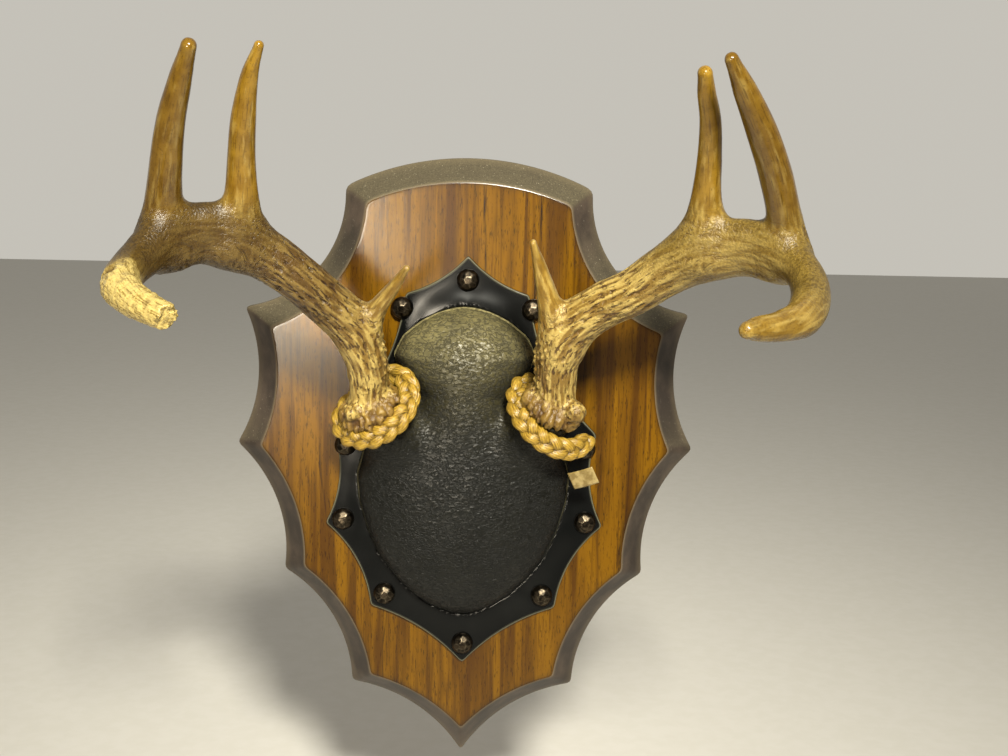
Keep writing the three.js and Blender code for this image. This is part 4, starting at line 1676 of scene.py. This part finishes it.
@dataclass(frozen=True)
class TapeTab:
    """A scrap of tape that sticks out below the right-hand cord."""

    centre: tuple = (56.5, -44, -6)
    width: float = 13.0
    height: float = 9.0
    turn: float = 0.35
    lean: float = 0.25
    roll: float = -0.38
    bow: float = 0.45
    slope: float = 0.5
    thickness: float = 0.16
    columns: int = 19
    rows: int = 11

    def build(self, film: Material) -> None:
        """Bends a thin film.

        It is a grid of width by height that stands out by bow (1 - (2 u)^2) - slope v, with u
        and v from -1/2 to 1/2. It is leant, turned and rolled, then thickened.

        Args:
            film: The finish.
        """
        u, v = np.meshgrid(np.linspace(-0.5, 0.5, self.columns),
                           np.linspace(-0.5, 0.5, self.rows))
        bow = self.bow * (1 - (2 * u) ** 2) - self.slope * v
        local = np.stack([u * self.width, -bow, v * self.height], axis=-1).reshape(-1, 3)
        turned = np.array(Matrix.Rotation(self.roll, 3, "Y") @ Matrix.Rotation(-self.turn, 3, "Z")
                          @ Matrix.Rotation(self.lean, 3, "X"))
        points = local @ turned.T + np.array(self.centre)
        faces = grid_faces(self.rows, self.columns, False)
        piece = make_piece("tape_film", points, [faces], [film])
        thick = piece.modifiers.new("thickness", "SOLIDIFY")
        thick.thickness = self.thickness * MM
        thick.offset = 0.0
        place(piece, Slot.TAPE, "tape_tab")


# ---- antlers


@dataclass(frozen=True)
class Antler:
    """One antler: burr, beam, brow tine and two upright tines."""

    side: Side
    burr: Ring
    beam: tuple
    brow: tuple
    second: tuple
    third: tuple
    knobs: tuple
    fork: float
    broken: bool
    seed: int
    cell: float = 1.46
    web: float = 6.0
    disc: float = 9.8
    disc_rim: tuple = (4.6, 3.8, 3.4)
    flare: float = 9.0
    knob_web: float = 3.0
    parts: tuple = ("burr", "beam_lower", "brow_tine", "beam_middle", "second_tine",
                    "beam_upper", "third_tine", "beam_tip")

    def flat(self) -> Array:
        """Finds the way that the antler's flat faces: square to its beam and second tine.

        Returns:
            A vector of length 1.
        """
        beam, second = np.array(self.beam)[:, :3], np.array(self.second)[:, :3]
        facing = unit(np.cross(second[-2] - second[0], beam[10] - beam[7]))
        return facing * np.sign(facing[1])

    def build(self, bone: Material) -> None:
        """Skins the antler and works its surface.

        Args:
            bone: The finish.
        """
        form = AntlerForm(self)
        reach = np.array([*self.beam, *self.brow, *self.second, *self.third])
        low = reach[:, :3].min(axis=0) - 17
        high = reach[:, :3].max(axis=0) + 14
        burr = np.array(self.burr.centre)
        low, high = np.minimum(low, burr - 21), np.maximum(high, burr + 21)
        points, quads = form.skin(low, high, self.cell * (1.0))
        points, values = AntlerSurface(self, form).work(points)
        name = f"antler_{self.side.value}"
        piece = make_piece(name, points, [quads], [bone], attributes=values)
        place(piece, Slot.ANTLER, *(f"{name}_{part}" for part in self.parts))


class AntlerForm(SoftForm):
    """An antler's smooth form: its limbs run together with webs, above the burr's base."""

    def __init__(self, antler: Antler) -> None:
        """Traces the limbs."""
        self.antler = antler
        flat = antler.flat()
        stations = (antler.beam, antler.brow, antler.second, antler.third)
        self.limbs = [Trace.through(np.array(s, dtype=float), flat, 1.0) for s in stations]
        self.jag = Lattice(antler.seed + 5)

    def limb_depths(self, points: Array) -> tuple[Array, Array]:
        """Measures each limb's distance.

        Args:
            points: The places.

        Returns:
            Each limb's distance for each point, and its nearest sample.
        """
        near = [limb.nearest(points) for limb in self.limbs]
        depths = [limb.depth(points, at) for limb, at in zip(self.limbs, near)]
        return np.array(depths), np.array(near)

    def depth(self, points: Array) -> Array:
        """Joins limbs, burr and knobs softly, and cuts the base and a broken tip.

        The burr is a flat disc whose rim is an oval: disc is the flat's radius, and disc_rim the
        oval's reach outwards, its half height, and how far it lies above the burr's base.

        Args:
            points: The places.

        Returns:
            The distance of each point, negative inside.
        """
        depths, _ = self.limb_depths(points)
        whole = depths[0]
        for other in depths[1:]:
            whole = join_softly(whole, other, self.antler.web)
        local = self.antler.burr.find(points)
        out, half, lift = self.antler.disc_rim
        reach = np.maximum(np.hypot(local[:, 0], local[:, 2]) - self.antler.disc, 0.0)
        oval = np.sqrt((reach / out) ** 2 + ((local[:, 1] - lift) / half) ** 2)
        whole = join_softly(whole, (oval - 1.0) * half, self.antler.flare)
        for *centre, radius in self.antler.knobs:
            ball = np.linalg.norm(points - np.array(centre), axis=1) - radius
            whole = join_softly(whole, ball, self.antler.knob_web)
        whole = np.maximum(whole, 0.1 - local[:, 1])
        if self.antler.broken:
            whole = np.maximum(whole, self.break_depth(points))
        return whole

    def break_depth(self, points: Array) -> Array:
        """Says how far each point is beyond the jagged break at the beam's end.

        Args:
            points: The places.

        Returns:
            The distance beyond it, roughened by two sizes of waves, and far below 0 elsewhere.
        """
        beam = self.limbs[0]
        slant = unit(beam.along[-1] - (0, 0, 0.45))
        beyond = (points - beam.centre[-1]) @ slant
        close = np.linalg.norm(points - beam.centre[-1], axis=1) < 14
        found = np.full(len(points), -50.0)
        spot = points[close]
        rough = 1.9 * self.jag.waves(spot / 4.2) + 1.2 * self.jag.waves(spot / 1.9)
        found[close] = beyond[close] - rough
        return found


@dataclass(frozen=True)
class AntlerSurface:
    """The furrows, pits, pearls and knobs that are worked into an antler's surface.

    Heights and depths are from the smooth form. Each limb's noise starts at its own place.
    """

    antler: Antler
    form: AntlerForm
    stretch: float = 4.0
    mingling: float = 1.5
    starts: tuple = (0.0, 34.0, 150.0, 185.0)
    pit_size: float = 1.5
    lump_size: float = 6.5
    streak_size: float = 1.6
    pearl_size: float = 2.9
    furrow_depth: float = 0.85
    pearl_height: float = 0.95
    knob_height: float = 1.0
    fold_depth: float = 1.3
    crack_at: float = 36.0
    crack_depth: float = 1.6
    bare: tuple = (44.0, 34.0)

    def limbs(self, near: Array, weight: Array, grow: Lattice,
              points: Array) -> dict[str, Array]:
        """Takes noise along each limb, and says where it is rubbed and polished.

        Noise is taken in each limb's own coordinates, with the length along it divided by
        stretch, so that furrows run along the limb. The beam is rubbed past its fork and polished
        at its end, and a tine from a little above its root.

        Args:
            near: Each limb's nearest sample to each point.
            weight: Each limb's share of each point.
            grow: The antler's noise.
            points: The smooth form's vertices.

        Returns:
            Pits, lumps, streak, rub and polish, and the place along and across the limb.
        """
        names = ("pits", "lumps", "streak", "rub", "polish")
        found = {name: np.zeros(len(points)) for name in names}
        found["grain"] = np.zeros((len(points), 3))
        for i, limb in enumerate(self.form.limbs):
            offset = limb.local(points, near[i])
            along = limb.arc[near[i]] + offset[:, 0] + self.starts[i]
            own = np.stack([along / self.stretch, offset[:, 1], offset[:, 2]], axis=1)
            found["grain"] += weight[i][:, None] * own
            found["pits"] += weight[i] * grow.layers(own / self.pit_size, 2)
            found["lumps"] += weight[i] * grow.layers(own / self.lump_size + 40, 2)
            found["streak"] += weight[i] * grow.layers(
                own * (0.5, 1, 1) / self.streak_size + 80, 2)
            if i == 0:
                rub = 0.85 * smooth_step(self.antler.fork + 5, self.antler.fork + 45, along)
                gloss = 0.7 * smooth_step(limb.arc[-1] - 55, limb.arc[-1] - 25, along)
            else:
                rub = smooth_step(4, 30, along - self.starts[i]) * (0.8 if i == 1 else 1.0)
                gloss = smooth_step(8, 34, along - self.starts[i]) * (0.6 if i == 1 else 1.0)
            found["rub"] += weight[i] * rub
            found["polish"] += weight[i] * gloss
        return found

    def crown(self, points: Array, grow: Lattice) -> tuple[Array, ...]:
        """Says where the burr is, and where its lobes and the folds between them are.

        The lobes are cells of noise in the turn about the burr and the height over its base.

        Args:
            points: The smooth form's vertices.
            grow: The antler's noise.

        Returns:
            How near the burr, on its crown, on a lobe, and in a fold each point is.
        """
        local = self.antler.burr.find(points)
        radius = np.hypot(local[:, 0], local[:, 2])
        at_burr = smooth_step(17.0, 8.0, local[:, 1]) * smooth_step(60, 30, radius)
        crown = smooth_step(10.5, 6.5, local[:, 1]) * smooth_step(26, 20, radius)
        turn = np.arctan2(local[:, 2], local[:, 0])
        around = np.stack([np.cos(turn) * 3.6, np.sin(turn) * 3.6, local[:, 1] / 16.0], axis=1)
        around[:, 2] += 0.3 * grow.waves(points / 5)
        lobe, edge = grow.pebbles(around + 0.25 * grow.waves(points / 3.6)[:, None])
        return at_burr, crown, smooth_step(0.75, 0.15, lobe), smooth_step(0.22, 0.0, edge - lobe)

    def work(self, points: Array) -> tuple[Array, dict[str, Array]]:
        """Displaces the surface and gives it the values that its finish reads.

        Limbs are mingled by exp(-depth / mingling). Furrows are cut where the pits' noise is
        high and nothing has rubbed it, pearls stand on the lower beam's inner side, and the burr
        has lobes and folds. A broken beam is bare and crumbled from a crack to its end.

        Args:
            points: The smooth form's vertices.

        Returns:
            The worked vertices and the values stored on them.
        """
        form, antler = self.form, self.antler
        normal = unit(form.slope(points, 0.3))
        depths, near = form.limb_depths(points)
        weight = np.exp(-(depths - depths.min(axis=0)) / self.mingling)
        weight = weight / weight.sum(axis=0)
        grow = Lattice(antler.seed)
        found = self.limbs(near, weight, grow, points)
        pits, lumps, streak, rub, polish, grain = found.values()
        beam = form.limbs[0]
        reach = beam.arc[near[0]]
        dusty = smooth_step(antler.fork + 5, antler.fork + 40, reach) * (1 - polish)
        dusty = dusty * (0.55 + 0.45 * smooth_step(-0.4, 0.6, normal[:, 2]))
        at_burr, crown, knob, fold = self.crown(points, grow)
        small, _ = grow.pebbles(points / self.pearl_size)
        inner = -normal[:, 0] * np.sign(points[:, 0])
        pearly = (smooth_step(antler.fork - 18, antler.fork - 38, reach) * weight[0]
                  * smooth_step(0.3, 0.8, inner + 0.3 * grow.waves(points / 9)))
        pearly = np.clip(pearly + 0.25 * at_burr, 0, 1) * (1 - crown)
        pearl = smooth_step(0.5, 0.2, small) * pearly
        furrow = smooth_step(0.25, 0.65, pits) * (1 - rub)
        lobes = (self.knob_height * knob - self.fold_depth * fold
                 + 0.4 * grow.layers(points / 2.4, 2))
        rise = (-self.furrow_depth * furrow + (0.4 * lumps + 0.25 * streak) * (1 - 0.7 * rub)
                + self.pearl_height * pearl - 0.25 * pearly + crown * lobes)
        dark = 0.6 * furrow * (1 - pearl)
        dark = np.maximum(dark, 0.5 * pearly * (1 - pearl))
        dark = dark * (1 - crown) + crown * np.clip(0.2 + 0.7 * fold - 0.2 * knob, 0, 1)
        streak = streak * (1 - crown) + crown * (0.8 * knob - 0.95)
        chalk, crack = np.zeros(len(points)), np.zeros(len(points))
        if antler.broken:
            left = beam.arc[-1] - reach
            line = np.abs(left - self.crack_at - 3.0 * grow.waves(points / 10 + 5))
            left = left + 6.0 * grow.waves(points / 6)
            chalk = smooth_step(*self.bare, left) * weight[0]
            crack = smooth_step(1.9, 0.7, line) * smooth_step(-0.1, -0.5, normal[:, 0])
            crumbs = grow.layers(points / 3.8 + 30, 3)
            rise = rise * (1 - chalk) + chalk * 0.6 * crumbs - self.crack_depth * crack
            crack = np.maximum(crack, 0.5 * chalk * smooth_step(-0.2, -0.8, crumbs))
            dark = dark * (1 - chalk)
        # painted shade: darkens the third tines, the left antler's unpolished bone above its lowest
        # part, and all of the right antler's unpolished bone a little
        shade = 0.4 * weight[3] * smooth_step(6, 30, form.limbs[3].arc[near[3]])
        if antler.side is Side.LEFT:
            shade = shade + 0.75 * (1 - polish) * (1 - chalk) * smooth_step(22, 75, reach)
        else:
            shade = shade + 0.12 * (1 - polish)
        pitted = (1 - np.clip(rub, 0, 1)) * (1 - crown) * (1 - chalk)
        return points + normal * rise[:, None], {
            "furrow": np.clip(dark, 0, 1), "polish": np.clip(polish, 0, 1),
            "dusty": np.clip(dusty, 0, 1), "shade": np.clip(shade, 0, 1), "chalk": chalk,
            "crack": crack, "grain": grain, "pitted": pitted,
            "streak": np.clip(0.5 + 0.45 * streak, 0, 1)}


# ---- stage


@dataclass(frozen=True)
class SoftLight:
    """A soft square light behind a grid. Places are in metres, and the spread in degrees."""

    name: str
    spot: tuple
    target: tuple
    size: float
    power: float
    spread: float
    tone: str

    def build(self) -> None:
        """Adds the light, facing its target."""
        data = bpy.data.lights.new(self.name, "AREA")
        data.size = self.size
        data.energy = self.power
        data.spread = math.radians(self.spread)
        data.color = colour(self.tone)[:3]
        made = bpy.data.objects.new(self.name, data)
        made.location = self.spot
        facing = Vector(self.target) - Vector(self.spot)
        made.rotation_euler = facing.to_track_quat("-Z", "Y").to_euler()
        bpy.context.scene.collection.objects.link(made)


@dataclass(frozen=True)
class Studio:
    """Floor, lights, surroundings and camera. Places here are in metres.

    The surroundings grow from dim to bright as their own Y, from -1 to 1, goes over fade.
    """

    floor_drop: float = 0.24
    floor_half: float = 4.0
    floor_steps: int = 5
    tone: str = "#dcd8ce"
    fade: tuple = (-0.8, 0.8)
    glow: tuple = (0.055, 0.78)
    lights: tuple = (
        SoftLight("key_light", (0.18, -1.25, 0.8), (0, 0.05, 0.02), 0.2, 4.2, 54, "#fffaea"),
        SoftLight("sheen_light", (-0.31, -1.2, 0.04), (-0.06, -0.02, 0.07), 0.22, 0.3, 30,
                  "#fff3dc"))
    eye: tuple = (0.0051, -0.6932, 0.1465)
    forward: tuple = (0.01936, 0.98699, -0.15963)
    up: tuple = (-0.01751, 0.15997, 0.98697)
    lens: float = 50.0
    sensor: float = 36.0

    def build(self, paper: Material) -> None:
        """Sets the floor, the soft lights, the pale surroundings and the camera.

        Args:
            paper: The floor's finish.
        """
        self.floor(paper)
        for light in self.lights:
            light.build()
        world = bpy.data.worlds.new("pale_surroundings")
        world.use_nodes = True
        back = world.node_tree.nodes["Background"]
        back.inputs["Color"].default_value = colour(self.tone)
        depth = add(world, Kind.SPLIT, add(world, Kind.WAY)).node.outputs[1]
        wire(back, Strength=add(world, Kind.FADE, depth, *self.fade, *self.glow))
        bpy.context.scene.world = world
        bpy.context.scene.view_settings.view_transform = "Standard"
        self.camera()

    def floor(self, paper: Material) -> None:
        """Lays a plain pale floor, 8 m across, below the object.

        Args:
            paper: The finish.
        """
        side = np.linspace(-self.floor_half, self.floor_half, self.floor_steps) / MM
        x, y = np.meshgrid(side, side)
        level = np.full(x.size, -self.floor_drop / MM)
        points = np.stack([x.ravel(), y.ravel(), level], axis=1)
        faces = grid_faces(self.floor_steps, self.floor_steps, False)
        make_piece("floor", points, [faces], [paper], smooth=False)

    def camera(self) -> None:
        """Adds the camera, turned by its forward and up directions."""
        data = bpy.data.cameras.new("camera")
        data.lens = self.lens
        data.sensor_width = self.sensor
        made = bpy.data.objects.new("camera", data)
        back, up = -Vector(self.forward).normalized(), Vector(self.up).normalized()
        across = up.cross(back).normalized()
        turn = Matrix((across, back.cross(across), back)).transposed().to_4x4()
        made.matrix_world = Matrix.Translation(self.eye) @ turn
        bpy.context.scene.collection.objects.link(made)
        bpy.context.scene.camera = made


# ---- the object


LEFT_BURR = Ring((-43.4, -48.8, 24.9), (-0.4, -0.46, 0.79))
RIGHT_BURR = Ring((39.2, -49.8, 26.5), (0.42, -0.38, 0.82))

CORDS = (
    Cord(Side.LEFT, Ring((-43.5, -45, 28.5), (-0.42, -0.65, 0.62)), 19.3, -56, 332, 115),
    Cord(Side.RIGHT, Ring((41.4, -42.7, 24.9), (0.5, -0.54, 0.68)), 20.5, -34, 270, 60),
)

COVER = Cover(
    stations=(
        (-80.5, 1.5, 0.8), (-79, 8, 6), (-76, 15, 10.5), (-70, 24, 15), (-61, 33, 19),
        (-50, 41, 22.5), (-38, 46, 24.5), (-23, 50.3, 25.5), (-10, 51.5, 25.5), (2, 48, 25),
        (12, 36, 24.5), (21, 26.5, 24), (31, 22.5, 24), (40, 29.5, 24), (49, 34, 23),
        (58, 29.5, 19.5), (65, 21, 14.5), (70, 11, 8), (72, 1.5, 0.8)),
    sleeves=(Sleeve(LEFT_BURR, (-31, -30, 8)), Sleeve(RIGHT_BURR, (28, -30, 8))),
    cords=CORDS,
)

ANTLERS = (
    Antler(
        side=Side.LEFT, burr=LEFT_BURR, fork=78, broken=True, seed=3,
        beam=(
            (-45.2, -51, 29, 16.5, 1), (-45, -54.8, 36.5, 16.5, 1), (-44.5, -58, 44, 18.6, 1),
            (-45.5, -64, 54, 19.5, .98), (-52, -72, 69, 21, .95), (-62, -80, 80, 20.5, .92),
            (-73, -88, 91, 20.7, .88), (-87, -96, 102, 22.8, .78), (-100, -104, 108.6, 27, .62),
            (-110, -110, 110.8, 28.4, .56), (-122.6, -119, 108.6, 25.4, .64),
            (-131, -136, 100, 17.6, .88), (-132, -156, 93, 16, .92), (-122, -170, 88, 13, .95),
            (-109, -180, 84, 11, .9)),
        brow=((-47, -67, 63, 14, 1), (-43, -72, 71, 11.5, 1), (-38, -77, 79, 8, 1),
              (-32, -83, 87, 5.9, 1), (-26, -90, 96, 3.0, 1)),
        second=((-97, -101, 104, 29, .6), (-95.4, -103, 113, 22, .72),
                (-93.3, -110, 126, 14.6, .88), (-91.6, -119, 141, 11.5, .95),
                (-88.8, -131, 156, 10.2, .95), (-84.6, -142, 172, 7.2, 1),
                (-79.3, -150.5, 184.2, 3.8, 1)),
        third=((-123.4, -114, 103, 29, .58), (-123.4, -118, 112, 22.6, .7),
               (-122, -124, 125, 15.4, .86), (-118, -136, 141, 12.8, .95),
               (-114, -146, 155, 11.3, .95), (-108, -157, 170, 9, 1),
               (-102.6, -165.8, 182.4, 6, 1)),
        knobs=((-52, -61, 27, 3.6), (-33, -57, 33, 3.4))),
    Antler(
        side=Side.RIGHT, burr=RIGHT_BURR, fork=76, broken=False, seed=8,
        beam=(
            (40.4, -50.6, 28.6, 18, 1), (41.8, -54.4, 36, 18.3, 1),
            (41.2, -58.8, 45.5, 19.3, 1), (42, -64, 57, 20.5, .98), (49, -72, 71, 21, .95),
            (61, -80, 81, 20.3, .92), (73, -88, 88, 20.8, .88), (85, -96, 97.6, 22.6, .8),
            (99, -106, 106.4, 26, .64), (116, -116, 109.4, 26.4, .58),
            (127, -125, 107.2, 22.6, .68), (134, -137, 102, 15.8, .95),
            (134.5, -152, 94, 15.3, 1), (128, -169, 87, 14.8, 1), (116, -183, 85, 11.4, 1),
            (107, -191, 85, 9.4, 1), (102, -196, 85, 6.6, 1)),
        brow=((43, -65, 60, 18, .9), (40, -69, 67, 15, .9), (36.5, -76, 81, 10.6, .95),
              (32, -83, 96, 6.3, 1), (28.3, -89.5, 108, 3.2, 1)),
        second=((99.5, -105, 105.5, 29, .6), (99.2, -108, 115, 21.5, .72),
                (98, -115, 129, 12.9, .9), (97, -125, 145, 10, .95), (95, -136, 160, 8.6, 1),
                (92, -143, 170, 7.4, 1), (90, -149, 177.5, 6.0, 1)),
        third=((130.2, -120, 103.5, 28, .58), (129.6, -124, 112, 20.4, .74),
               (126.8, -131, 124, 14.2, .9), (120.4, -142, 140, 13.4, .84),
               (111.5, -154, 157, 12, .84), (102.8, -164, 171, 9.1, .9),
               (96.3, -170.5, 181.5, 5.4, 1)),
        knobs=((50.5, -61, 29, 5.0), (30, -57, 35, 3.4))),
)


def main() -> None:
    """Builds the mount from its camera to its tines."""
    logging.basicConfig(level=logging.INFO, format="%(name)s: %(message)s")
    Studio().build(StudioPaper("pale_paper", roughness=0.9).make())
    wood = StainedWood("pine_stained_and_varnished", 0.22, ior=1.42).make()
    edge = BurntEdge("sprayed_board_edge", roughness=0.6).make()
    raw = RawBoard("pine_sanded_bare", roughness=0.8).make()
    nails = Nails()
    Board().build(wood, edge, raw)
    Trim().build(PressedVinyl("black_vinyl_pressed", roughness=0.24, ior=1.31).make(), COVER, nails)
    nails.build(HammeredBronze("bronzed_steel_hammered", 0.36, metallic=1.0).make())
    COVER.build(GrainedLeather("leather_embossed", roughness=0.36, ior=1.36).make(),
                GrainedLeather("leather_rolled_edge", roughness=0.55, ior=1.3, relief=0.04).make())
    satin = SatinCord("rayon_cord_plaited", roughness=0.32).make()
    for cord in CORDS:
        cord.build(satin)
    TapeTab().build(OldTape("acrylic_tape_aged", roughness=0.25).make())
    bone = GrownAntler("antler_grown", roughness=0.4, ior=1.5).make()
    for antler in ANTLERS:
        antler.build(bone)
    zinc = ZincStrip("zinc_plated_steel_rolled", 0.35, metallic=1.0).make()
    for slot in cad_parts["sawtooth_hanger"].material_slots:
        slot.material = zinc
    log.info("boxes written")


if __name__ == "__main__":
    main()
